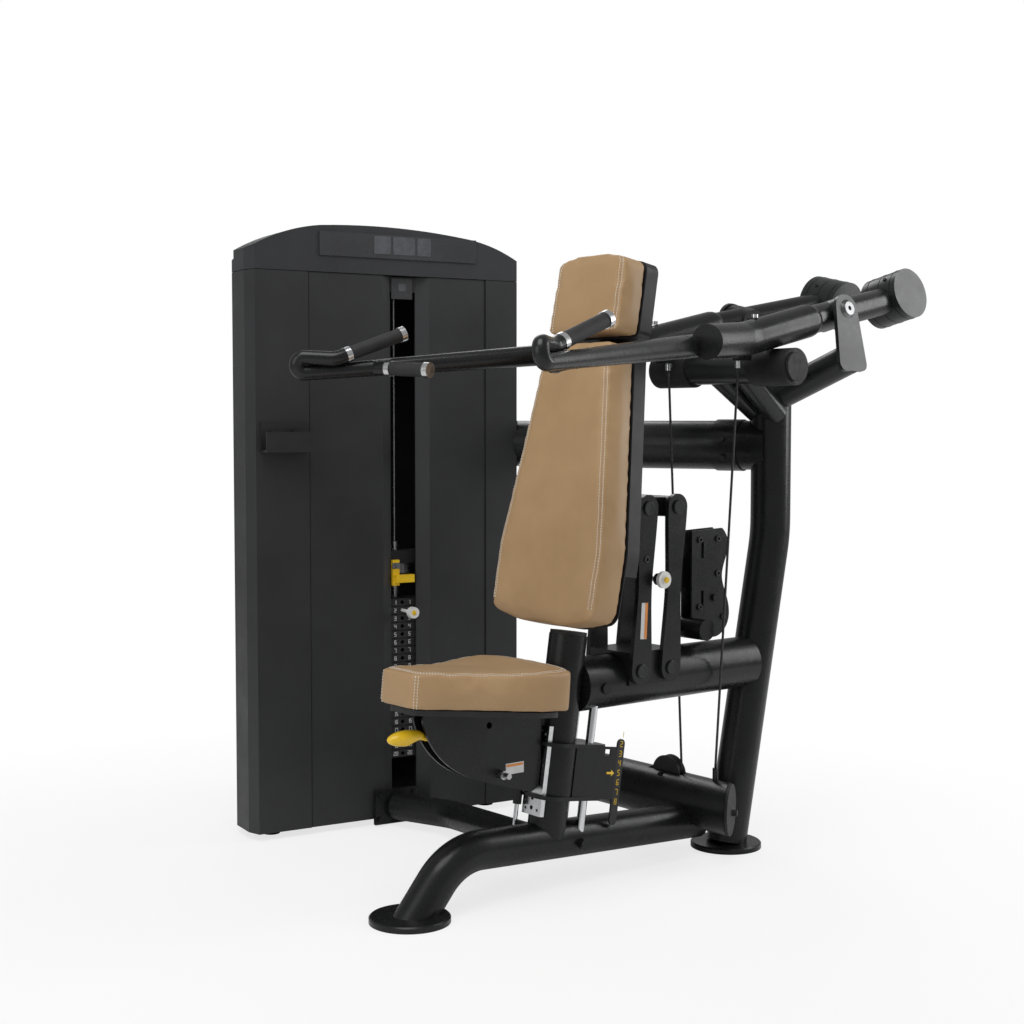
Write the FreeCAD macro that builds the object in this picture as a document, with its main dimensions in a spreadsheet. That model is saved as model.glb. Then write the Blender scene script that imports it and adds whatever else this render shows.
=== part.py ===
# Shoulder press machine with a weight stack, an adjustable seat and two converging press arms.
#
# Frame: millimetres, +Z up, origin on the floor under the centre of the front foot.
# The user sits facing -Y, so +X is the user's left side and the weight tower stands on the -X side.
import FreeCAD, Part
import math
import os
from FreeCAD import Placement, Rotation, Vector

DRIVING_SIZES = {
    # floor frame
    "foot_r": 89.0, "foot_thick": 14.0, "foot_pitch": 983.0,
    "spine_r": 44.45, "upright_r": 50.8, "beam_r": 63.5, "beam_wall": 4.5, "brace_r": 36.0,
    "cross_y": 874.0, "cross_z": 131.0, "cross_near_x": 110.0, "cross_end_turn": 34.7, "cap_thick": 8.0,
    "mid_z": 466.0, "upper_z": 1015.0, "sleeve_r": 67.0, "sleeve_len": 70.0,
    "upright_bend_y": 1140.0, "upright_bend_z": 790.0, "upright_top_z": 1118.0,
    # arm head
    "head_r": 38.0, "stop_y": 969.0, "stop_z": 1207.0, "stop_half": 228.0,
    "bumper_r": 45.0, "bumper_len": 122.0,
    "pivot_x": 200.0, "pivot_y": 1193.0, "pivot_z": 1355.0, "pivot_tilt": 13.0,
    "plate_thick": 10.0, "plate_top_r": 37.0, "plate_foot_half": 52.0, "plate_drop": 152.0,
    "axle_r": 12.0, "axle_head_r": 24.0, "axle_head_len": 7.0, "axle_len": 100.0,
    "hub_r": 36.0, "hub_len": 76.0, "running_gap": 0.05, "side_gap": 1.0,
    # press arms
    "arm_r": 35.0, "elbow_r": 41.0, "bar_r": 27.0, "bar_tip_r": 17.5,
    "bar_tip_x": 445.0, "bar_tip_y": -6.0, "bar_tip_z": 1187.0,
    "grip_r": 16.5, "grip_len": 135.0, "collar_r": 18.5, "collar_len": 14.0,
    "weight_r": 66.0, "weight_len": 112.0, "clamp_r": 46.0,
    "cable_r": 3.2, "sheave_r": 22.0, "sheave_thick": 12.0,
    "cable_x": 118.0, "cable_y": 888.0, "cable_top_z": 1214.0,
    # weight tower
    "tower_x": -778.0, "tower_y": 81.0, "tower_turn": 9.0, "tower_w": 763.0,
    "skin_thick": 4.0, "front_depth": 112.0, "rear_depth": 190.0, "rear_inset": 120.0,
    "edge_run": 14.0, "edge_depth": 38.0, "skirt_z": 18.0, "header_z": 1461.0,
    "slot_mid": 425.0, "slot_half": 37.0, "slot_bevel": 32.0, "slot_depth": 24.0,
    "stack_depth": 80.0, "plate_w": 230.0, "plate_d": 96.0, "plate_h": 20.0, "plate_pitch": 21.6,
    "rest_plates": 18.0, "lift_plates": 2.0, "stack_floor_z": 170.0, "rod_r": 9.5, "rod_spread": 85.0,
    "stem_r": 11.0, "pin_r": 4.5, "pin_len": 92.0, "knob_r": 11.0, "addon_h": 34.0,
    "top_sheave_r": 55.0, "top_sheave_z": 1420.0, "floor_pad_r": 22.0,
    # seat post
    "post_y": 381.0, "post_z": 114.0, "post_lean": 8.5, "post_len": 476.0, "slide_rod_r": 10.0,
    "slide_rod_off": 77.0, "slide_rod_x": 30.0, "slide_rod_len": 330.0, "tee_r": 13.0, "tee_half": 58.0,
    "carriage_low": 100.0, "carriage_h": 130.0, "seat_pitch": 22.5, "bracket_x": 20.0, "bracket_thick": 6.0,
    "seat_front_y": -40.0, "seat_rear_y": 337.0, "seat_nose_half": 66.0, "seat_rear_half": 159.0,
    "seat_thick": 80.0, "seat_lean": 5.0, "board_thick": 12.0, "seat_base_z": 437.0,
    # back rest
    "back_lean": 10.4, "back_y": 361.0, "back_z": 640.0, "back_thick": 78.0, "shell_thick": 36.0,
    "back_low_z": 617.0, "back_high_z": 1262.0, "head_low_z": 1280.0, "head_high_z": 1466.0,
    "back_low_half": 182.0, "back_high_half": 116.0, "head_half": 123.0,
    "link_len": 382.0, "link_lean": 3.0, "link_gap": 96.0, "link_y": 608.0, "link_z": 493.0,
    "link_x": 70.0, "link_thick": 12.0, "link_r": 31.0, "link_waist": 21.0, "link_pin_r": 9.0,
    "guard_x": 14.0, "guard_thick": 5.0, "guard_sheave_r": 46.0,
}

doc = FreeCAD.newDocument("ShoulderPress")
sheet = doc.addObject("Spreadsheet::Sheet", "Sizes")
for row, (alias, value) in enumerate(DRIVING_SIZES.items(), 1):
    sheet.set(f"A{row}", alias)
    sheet.set(f"B{row}", str(value))
    sheet.setAlias(f"B{row}", alias)
doc.recompute()

X_AXIS = Vector(1, 0, 0)
Y_AXIS = Vector(0, 1, 0)
Z_AXIS = Vector(0, 0, 1)
OVERSHOOT = 4.0
NODES = []


def size(alias):
    """The value of one driving size, read from the sheet."""
    return float(sheet.get(alias))


def keep(name, obj):
    """Marks an object as a finished sub-part and gives it its node name."""
    obj.Label = name
    NODES.append(obj)
    return obj


def frame_at(origin, axis, roll_x=None):
    """A placement whose local +Z runs along axis, and whose local +X leans to roll_x where given."""
    z = Vector(axis).normalize()
    if roll_x is None:
        return Placement(origin, Rotation(Z_AXIS, z))
    y = z.cross(roll_x).normalize()
    return Placement(origin, Rotation(y.cross(z), y, z, "ZXY"))


def cylinder(name, radius, start, end=None, axis=None, height=None):
    """A Part cylinder from start to end, or along axis with a height from the sheet."""
    obj = doc.addObject("Part::Cylinder", name)
    obj.setExpression("Radius", radius if "Sizes" in radius else "Sizes." + radius)
    if height is None:
        obj.Height = (end - start).Length
        axis = end - start
    else:
        obj.setExpression("Height", height if "Sizes" in height else "Sizes." + height)
    obj.Placement = frame_at(start, axis)
    return obj


def block(name, origin, length, width, height, turn=0.0):
    """A Part box with its corner at origin, turned about Z. Each edge is a formula or a number."""
    obj = doc.addObject("Part::Box", name)
    for prop, value in (("Length", length), ("Width", width), ("Height", height)):
        if isinstance(value, str):
            obj.setExpression(prop, value)
        else:
            setattr(obj, prop, value)
    obj.Placement = Placement(origin, Rotation(Z_AXIS, turn))
    return obj


def fuse(name, *parts):
    """One solid made of several that touch or overlap."""
    obj = doc.addObject("Part::MultiFuse", name)
    obj.Shapes = list(parts)
    obj.Refine = True
    return obj


def cut(name, base, *tools):
    """The base with every tool taken out of it."""
    for index, tool in enumerate(tools):
        obj = doc.addObject("Part::Cut", name if index == len(tools) - 1 else f"{name}_step{index}")
        obj.Base = base
        obj.Tool = tool
        base = obj
    return base


def group(name, *parts):
    """Separate solids of one kind kept in one node."""
    obj = doc.addObject("Part::Compound", name)
    obj.Links = list(parts)
    return obj


def solid(name, shape, placement=None):
    """A shape built with Part's own functions."""
    obj = doc.addObject("Part::Feature", name)
    obj.Shape = shape
    if placement is not None:
        obj.Placement = placement
    return obj


def rounded_path(points, radii):
    """A wire of straight runs through points, with a tangent arc of each radius at its corner."""
    edges = []
    start = points[0]
    for index in range(1, len(points) - 1):
        corner = points[index]
        before = (points[index - 1] - corner).normalize()
        after = (points[index + 1] - corner).normalize()
        half = before.getAngle(after) / 2
        reach = radii[index - 1] / math.tan(half)
        middle = (before + after).normalize()
        centre = corner + middle * (radii[index - 1] / math.sin(half))
        arc_in = corner + before * reach
        arc_out = corner + after * reach
        if (arc_in - start).Length > 0.01:
            edges.append(Part.LineSegment(start, arc_in).toShape())
        edges.append(Part.Arc(arc_in, centre - middle * radii[index - 1], arc_out).toShape())
        start = arc_out
    edges.append(Part.LineSegment(start, points[-1]).toShape())
    return Part.Wire(edges)


def bent_tube(name, points, radius, bends):
    """A round bar along a path of straight runs and arcs."""
    path = rounded_path(points, bends)
    ring = Part.Wire([Part.makeCircle(radius, points[0], points[1] - points[0])])
    shape = path.makePipeShell([ring], True, True)
    if not shape.isValid() or shape.Volume < 0.9 * math.pi * radius ** 2 * path.Length:
        raise RuntimeError(f"{name}: the swept bar isn't sound")
    return solid(name, shape)


def body_with_pad(name, edges, length, plane="XY_Plane", midplane=False, placement=None):
    """A PartDesign body: a closed sketch on one of its origin planes, padded by a sheet formula."""
    body = doc.addObject("PartDesign::Body", name)
    sketch = body.newObject("Sketcher::SketchObject", name + "_outline")
    base = [f for f in body.Origin.OriginFeatures if f.Role == plane][0]
    sketch.AttachmentSupport = [(base, "")]
    sketch.MapMode = "FlatFace"
    for edge in edges:
        sketch.addGeometry(edge, False)
    pad = body.newObject("PartDesign::Pad", name + "_pad")
    pad.Profile = sketch
    pad.setExpression("Length", length)
    pad.Midplane = midplane
    body.Tip = pad
    if placement is not None:
        body.Placement = placement
    doc.recompute()
    return body


def rounded_outline(points, radii):
    """Sketch edges round (x, y) corners, each corner rounded by its radius (0 keeps it sharp)."""
    corners = [Vector(x, y, 0) for x, y in points]
    count = len(corners)
    ends = []
    for index, corner in enumerate(corners):
        radius = radii[index] if isinstance(radii, (list, tuple)) else radii
        if radius <= 0:
            ends.append((corner, None, corner))
            continue
        before = (corners[index - 1] - corner).normalize()
        after = (corners[(index + 1) % count] - corner).normalize()
        half = before.getAngle(after) / 2
        middle = (before + after).normalize()
        centre = corner + middle * (radius / math.sin(half))
        reach = radius / math.tan(half)
        ends.append((corner + before * reach, centre - middle * radius, corner + after * reach))
    edges = []
    for index, (arc_in, crown, arc_out) in enumerate(ends):
        if crown is not None:
            edges.append(Part.Arc(arc_in, crown, arc_out))
        following = ends[(index + 1) % count][0]
        if (following - arc_out).Length > 1e-4:
            edges.append(Part.LineSegment(arc_out, following))
    return edges


# --- Floor frame -----------------------------------------------------------------------------------

def make_feet():
    """Two round steel feet welded under the spine and the upright."""
    feet = []
    for index, y in enumerate((0.0, size("foot_pitch"))):
        disc = cylinder(f"foot_disc_{index}", "foot_r", Vector(0, y, 0), axis=Z_AXIS, height="Sizes.foot_thick - 3")
        rim = doc.addObject("Part::Cone", f"foot_rim_{index}")
        rim.setExpression("Radius1", "Sizes.foot_r")
        rim.setExpression("Radius2", "Sizes.foot_r - 3")
        rim.Height = 3
        rim.Placement = Placement(Vector(0, y, size("foot_thick") - 3), Rotation())
        feet.append(fuse(f"foot_{index}", disc, rim))
    return keep("frame_feet", group("frame_feet", *feet))


def foot_top():
    return size("foot_thick")


def make_spine(cross_beam):
    """The long floor tube: it rises from the front foot and runs back into the lower cross beam."""
    points = [Vector(0, -12, foot_top() - 40), Vector(0, 118, 128), Vector(0, size("cross_y"), 86)]
    raw = bent_tube("spine_raw", points, size("spine_r"), [150.0])
    floor_trim = block("spine_trim", Vector(-100, -160, -120), 200.0, 330.0, "Sizes.foot_thick + 120")
    trimmed = cut("spine_trimmed", raw, floor_trim, cross_beam)
    tee = cylinder("rod_tee", "tee_r", Vector(-size("tee_half"), 456, 103), Vector(size("tee_half"), 456, 103))
    return keep("spine_tube", fuse("spine_tube", trimmed, tee))


def make_upright():
    """The rear upright: it leans back from the rear foot, then stands vertical."""
    y = size("foot_pitch")
    points = [Vector(0, y + 2, foot_top()), Vector(0, size("upright_bend_y"), size("upright_bend_z")),
              Vector(0, size("upright_bend_y"), size("upright_top_z"))]
    raw = bent_tube("upright_raw", points, size("upright_r"), [420.0])
    low_trim = block("upright_trim", Vector(-100, y - 100, -60), 200.0, 200.0, "Sizes.foot_thick + 60")
    return cut("upright_trimmed", raw, low_trim)


def make_cross_beam():
    """The hollow lower cross beam from its near cap to the weight tower, slotted for the base pulley."""
    start = Vector(size("cross_near_x") + 70, size("cross_y"), size("cross_z"))
    end = tower_point(size("tower_w") + size("edge_run"), -90, size("cross_z"))
    end = Vector(end.x + 10, start.y, start.z)
    outer = cylinder("cross_outer", "beam_r", start, end)
    inner = cylinder("cross_inner", "Sizes.beam_r - Sizes.beam_wall", start + X_AXIS, end - X_AXIS)
    slot = block("cross_slot", Vector(-95 - 60, start.y - 16, start.z + 20), 120.0, 32.0, 90.0)
    hollow = cut("cross_hollow", outer, inner, slot)
    centre = base_pulley_centre()
    axle = cylinder("base_axle", "link_pin_r", centre - Y_AXIS * 34, centre + Y_AXIS * 34)
    welded = fuse("cross_with_axle", hollow, axle)
    return cut("cross_trimmed", welded, cross_end_room("cross_end", 0.0, 400.0), tower_envelope("cross_tower"))


def cross_end_normal():
    """Unit vector square to the slanted near end of the lower cross beam."""
    turn = math.radians(size("cross_end_turn"))
    return Vector(math.cos(turn), math.sin(turn), 0)


def cross_end_room(name, low, high):
    """A slice of space past the slanted near end of the lower cross beam, between two distances from it."""
    end = Vector(size("cross_near_x"), size("cross_y"), size("cross_z"))
    slice_of = Part.makeBox(600, 600, high - low, Vector(-300, -300, low))
    return solid(name, slice_of, frame_at(end, cross_end_normal()))


def base_pulley_centre():
    """The centre of the pulley that stands in the lower cross beam's slot."""
    return Vector(-95, size("cross_y"), size("cross_z") + 52)


def tower_envelope(name):
    """The space inside the tower's covers and its end plates, taken out of whatever is welded to it."""
    run = size("edge_run") + 10.5
    depth = size("front_depth") + size("rear_depth")
    plan = [(-run, depth), (-run, size("edge_depth")), (-10.5, -0.5), (size("tower_w") + 10.5 - 10, -0.5),
            (size("tower_w") + run, size("edge_depth")), (size("tower_w") + run, depth)]
    wire = Part.makePolygon([Vector(x, y, 0) for x, y in plan + plan[:1]])
    prism = Part.Face(wire).extrude(Vector(0, 0, size("header_z")))
    return solid(name, prism, tower_frame_z(0))


def make_caps():
    """The round caps that close the lower cross beam and the seat post."""
    near = Vector(size("cross_near_x"), size("cross_y"), size("cross_z"))
    blank = cylinder("cap_blank", "Sizes.beam_r - 1", near - X_AXIS * 100, near + X_AXIS * 100)
    beam = doc.addObject("Part::Common", "cap_beam")
    beam.Base = blank
    beam.Tool = cross_end_room("cap_room", 1.0, 1.0 + size("cap_thick"))
    normal = cross_end_normal()
    bolt = cylinder("cap_bolt", "Sizes.cap_thick", near + normal * (1.0 + size("cap_thick")) +
                    Vector(-4, 6, -10), axis=normal, height="Sizes.cap_thick * 1.5")
    top = post_point(0, 0, size("post_len"))
    post = cylinder("cap_post", "Sizes.spine_r - 1.5", top, axis=post_axis(), height="cap_thick")
    return [beam, bolt, post]


def make_mid_beam(upright, post):
    """The thick beam between the seat post and the upright, under the back rest."""
    start = Vector(0, size("post_y") + 84, size("mid_z"))
    end = Vector(0, size("upright_bend_y") - 98, size("mid_z"))
    raw = cylinder("mid_raw", "beam_r", start, end)
    tee = cylinder("upper_tee", "tee_r", Vector(-69, 512, 460), Vector(69, 512, 460))
    return keep("mid_beam", cut("mid_beam", fuse("mid_with_tee", raw, tee), upright, post))


def upper_axis_points():
    """Where the upper cross beam starts, inside the upright, and ends, against the tower."""
    start = Vector(0, size("upright_bend_y"), size("upper_z"))
    end = tower_point(size("tower_w") + size("edge_run"), -82, size("upper_z"))
    return start, end


def make_upper_beam(upright):
    """The upper cross beam from the upright to the tower, with the bolted sleeve of its joint."""
    start, end = upper_axis_points()
    run = (end - start).normalize()
    beam = cylinder("upper_raw", "beam_r", start, end)
    coped = keep("upper_cross_beam", cut("upper_cross_beam", beam, upright, tower_envelope("upper_tower")))
    ring_start = start + run * 74
    ring = cylinder("sleeve_outer", "sleeve_r", ring_start, axis=run, height="sleeve_len")
    core = cylinder("sleeve_core", "Sizes.beam_r + Sizes.running_gap", ring_start - run, ring_start +
                    run * (size("sleeve_len") + 1))
    sleeve = cut("sleeve_tube", ring, core)
    bolts = []
    side = run.cross(Z_AXIS).normalize() * -1
    for index, angle in enumerate((14.0, -26.0)):
        out = Rotation(run, angle).multVec(side)
        seat = ring_start + run * (size("sleeve_len") / 2) + out * (size("sleeve_r") + 0.2)
        bolts.append(cylinder(f"sleeve_bolt_{index}", "Sizes.cap_thick", seat, axis=out, height="Sizes.cap_thick * 0.8"))
    keep("joint_sleeve", group("joint_sleeve", sleeve, *bolts))
    return coped


def make_brace(spine, post):
    """The low side brace from the tower's face to the spine, with its gusset plate."""
    start = tower_point(385, 13, 49)
    points = [start, start + Vector(178, 52, 3), Vector(-20, 396, 100)]
    raw = bent_tube("brace_raw", points, size("brace_r"), [120.0])
    return keep("side_brace", cut("side_brace", raw, spine, post))


def make_flanges(brace):
    """The bolted plates that join the brace and both cross beams to the tower."""
    parts = []
    turn = -size("tower_turn")
    corner = tower_point(322, 1.0, 4)
    plate = block("flange_low", corner, 11.5, 126.0, 92.0, turn)
    parts.append(cut("flange_low_coped", plate, brace))
    end = size("tower_w") + size("edge_run") + 0.5
    for index, level in enumerate((size("cross_z"), size("upper_z"))):
        plate = Part.makeBox(9.5, 92, 150, Vector(end, size("edge_depth") + 3, level - 75))
        parts.append(solid(f"flange_end_{index}", plate, tower_frame_z(0)))
    for index, (along, up) in enumerate(((334.0, 18.0), (334.0, 82.0), (436.0, 18.0), (436.0, 82.0))):
        seat = tower_point(along, 12.7, up)
        parts.append(cylinder(f"flange_bolt_{index}", "Sizes.cap_thick * 0.8", seat, axis=tower_out(), height="cap_thick"))
    parts.append(anchor_stud())
    return keep("frame_fixings", group("frame_fixings", *parts))


def cable_anchor_point():
    """The top of the threaded stud on the lower cross beam that holds the left arm's cable."""
    return Vector(66, size("cross_y"), size("cross_z") + size("beam_r") + 31)


def anchor_stud():
    anchor = cable_anchor_point()
    return cylinder("anchor_stud", "Sizes.cable_r * 2.2", anchor - Z_AXIS * 31, anchor - Z_AXIS * 0.4)


# --- Weight tower ----------------------------------------------------------------------------------

def tower_along():
    """Unit vector along the tower's face, towards its rear end."""
    turn = math.radians(size("tower_turn"))
    return Vector(math.sin(turn), math.cos(turn), 0)


def tower_out():
    """Unit vector out of the tower's face, towards the user."""
    turn = math.radians(size("tower_turn"))
    return Vector(math.cos(turn), -math.sin(turn), 0)


def tower_point(along, out, up):
    """A point in the tower's own directions: along the face, out of it, and up."""
    corner = Vector(size("tower_x"), size("tower_y"), 0)
    return corner + tower_along() * along + tower_out() * out + Z_AXIS * up


def tower_frame_z(up):
    """Local x along the face, local y into the tower, local z up."""
    return Placement(tower_point(0, 0, up), Rotation(tower_along(), tower_out() * -1, Z_AXIS, "ZXY"))


def shell_ring(name, outer, inner, low, high):
    """A closed wall between two plan outlines, from low to high."""
    def prism(points):
        wire = Part.makePolygon([Vector(x, y, 0) for x, y in points + points[:1]])
        return Part.Face(wire).extrude(Vector(0, 0, high - low))
    return solid(name, prism(outer).cut(prism(inner)), tower_frame_z(low))


def make_front_shroud():
    """The front cover: a stepped face with a tall slot in front of the stack, and two side returns."""
    width = size("tower_w")
    run = size("edge_run")
    chamfer = size("edge_depth")
    depth = size("front_depth")
    skin = size("skin_thick")
    left = size("slot_mid") - size("slot_half")
    right = size("slot_mid") + size("slot_half")
    bevel = size("slot_bevel")
    sink = size("slot_depth")
    panel = 3.0
    groove = 2.5
    left_panel = 148.0
    right_panel = 663.0
    halves = []
    low = size("skirt_z")
    high = size("header_z") - 1.5
    outer_left = [(-run, depth), (-run, chamfer), (0, 0), (left_panel - groove, 0), (left_panel - groove, 5),
                  (left_panel, 5), (left_panel, panel), (left - bevel, panel), (left, sink)]
    outer_right = [(right, sink), (right + bevel, panel), (right_panel, panel), (right_panel, 5),
                   (right_panel + groove, 5), (right_panel + groove, 0), (width, 0), (width + run, chamfer),
                   (width + run, depth)]
    back_left = [(left, sink + skin), (left - bevel - 2, panel + skin + 4), (skin, skin + 4),
                 (skin - run, chamfer + 2), (skin - run, depth)]
    back_right = [(width + run - skin, depth), (width + run - skin, chamfer + 2), (width - skin, skin + 4),
                  (right + bevel + 2, panel + skin + 4), (right, sink + skin)]
    for index, outline in enumerate((outer_left + back_left, outer_right + back_right)):
        wire = Part.makePolygon([Vector(x, y, 0) for x, y in outline + outline[:1]])
        halves.append(Part.Face(wire).extrude(Vector(0, 0, high - low)))
    foot_h = 62.0
    head_h = 40.0
    sill = Part.makeBox(right - left, skin, foot_h, Vector(left, sink, 0))
    lintel = Part.makeBox(right - left, skin, head_h, Vector(left, sink, high - low - head_h))
    shape = halves[0].fuse([halves[1], sill, lintel]).removeSplitter()
    return keep("front_shroud", solid("front_shroud", shape, tower_frame_z(low)))


def make_rear_shroud():
    """The back cover: narrower towards the rear, with tall bevelled corners."""
    width = size("tower_w")
    run = size("edge_run")
    start = size("front_depth") + 0.6
    depth = size("front_depth") + size("rear_depth")
    inset = size("rear_inset")
    skin = size("skin_thick")
    outer = [(-run, start), (-run, start + 12), (inset - run, depth), (width + run - inset, depth),
             (width + run, start + 12), (width + run, start)]
    inner = [(skin - run, start - 1), (skin - run, start + 10), (inset - run + 2, depth - skin),
             (width + run - inset - 2, depth - skin), (width + run - skin, start + 10), (width + run - skin, start - 1)]
    ring = shell_ring("rear_shroud", outer, inner, size("skirt_z"), size("header_z") - 1.5)
    return keep("rear_shroud", ring)


def make_header():
    """The arched top cover that closes the tower."""
    width = size("tower_w")
    run = size("edge_run")
    base = size("header_z")
    depth = size("front_depth")
    outline = [Vector(-run, 0, 0), Vector(width + run, 0, 0), Vector(width + run, 47, 0)]
    edges = [Part.LineSegment(outline[0], outline[1]).toShape(), Part.LineSegment(outline[1], outline[2]).toShape()]
    right_shoulder = Vector(596, 108, 0)
    left_shoulder = Vector(180, 119, 0)
    edges.append(Part.Arc(outline[2], Vector(700, 84, 0), right_shoulder).toShape())
    edges.append(Part.Arc(right_shoulder, Vector(385, 124, 0), left_shoulder).toShape())
    edges.append(Part.Arc(left_shoulder, Vector(80, 97, 0), Vector(-run, 54, 0)).toShape())
    edges.append(Part.LineSegment(Vector(-run, 54, 0), outline[0]).toShape())
    face = Part.Face(Part.Wire(edges))
    crown = face.extrude(Vector(0, 0, depth))
    plan = [(-run, depth), (-run, size("edge_depth")), (0, 0), (width, 0), (width + run, size("edge_depth")),
            (width + run, depth)]
    wire = Part.makePolygon([Vector(x, -1, -y) for x, y in plan + plan[:1]])
    keeper = Part.Face(wire).extrude(Vector(0, 200, 0))
    keeper.translate(Vector(0, 0, depth))
    crown = crown.common(keeper)
    hollow = Part.makeBox(width - 30, 42, depth - 8, Vector(15, -1, -2))
    shape = crown.cut(hollow)
    upright_place = Placement(tower_point(0, -depth, base), Rotation(tower_along(), Z_AXIS, tower_out(), "ZXY"))
    front = solid("header_front", shape, upright_place)
    rear_start = depth + 0.6
    rear_depth = depth + size("rear_depth")
    inset = size("rear_inset")
    rear_outline = [(-run, rear_start), (-run, rear_start + 12), (inset - run, rear_depth),
                    (width + run - inset, rear_depth), (width + run, rear_start + 12), (width + run, rear_start)]
    wire = Part.makePolygon([Vector(x, y, 0) for x, y in rear_outline + rear_outline[:1]])
    lid = Part.Face(wire).extrude(Vector(0, 0, 44))
    lid = lid.makeChamfer(14, [e for e in lid.Edges if e.CenterOfMass.z > 43 and e.CenterOfMass.y > rear_start + 1])
    rear = solid("header_rear", lid, tower_frame_z(base))
    return keep("tower_header", group("tower_header", front, rear))


def make_placard():
    """The blank information plate on the header and the small blank plate at the top of the slot."""
    face_y = 1.0
    plates = []
    for index, (left, right, low, high, out) in enumerate((
            (176.0, 634.0, 42.0, 104.0, face_y), (391.0, 452.0, -60.0, -6.0, -23.6))):
        corner = tower_point(left, out, size("header_z") + low)
        plates.append(block(f"placard_{index}", corner, 3.0, right - left, high - low, -size("tower_turn")))
    return keep("placard_plates", group("placard_plates", *plates))


def make_tray():
    """The small accessory tray screwed to the tower's front stile."""
    corner = tower_point(12, 0.6, 998)
    turn = -size("tower_turn")
    back = block("tray_back", corner, 5.0, 126.0, 77.0, turn)
    floor = block("tray_floor", corner, 42.0, 126.0, 6.0, turn)
    lip = block("tray_lip", corner + tower_out() * 38, 4.0, 126.0, 52.0, turn)
    screws = []
    for index, along in enumerate((44.0, 104.0)):
        screws.append(cylinder(f"tray_screw_{index}", "Sizes.rod_r * 0.7", tower_point(along, 5.4, 1052),
                               axis=tower_out(), height="Sizes.cap_thick * 0.4"))
    return keep("accessory_tray", group("accessory_tray", fuse("tray_bin", back, floor, lip), *screws))


def make_tower_frame():
    """The welded steel frame inside the covers: base plate, four posts, and a top plate."""
    turn = -size("tower_turn")
    depth_in = 45.0
    far = size("front_depth") + 40.0
    parts = [block("tower_base", tower_point(40, -far, 24), far - depth_in, 680.0, 30.0, turn)]
    top_z = size("header_z") - 30.0
    parts.append(block("tower_top", tower_point(40, -far, top_z), far - depth_in, 680.0, 24.0, turn))
    for index, along in enumerate((42.0, 680.0)):
        parts.append(block(f"tower_post_{index}", tower_point(along, -far + 42, 54 - 1), 60.0, 38.0,
                           top_z - 54 + 2, turn))
    frame = fuse("tower_weldment", *parts)
    feet = []
    for index, (along, out) in enumerate(((60, -70), (700, -70), (70, -140), (690, -140))):
        feet.append(cylinder(f"tower_foot_{index}", "floor_pad_r", tower_point(along, out, 0), axis=Z_AXIS,
                             height="Sizes.skirt_z + 6"))
    keep("tower_frame", frame)
    return feet


def stack_point(along, out, up):
    """A point measured from the centre line of the weight stack."""
    return tower_point(size("slot_mid") + along, out - size("stack_depth"), up)


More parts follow.
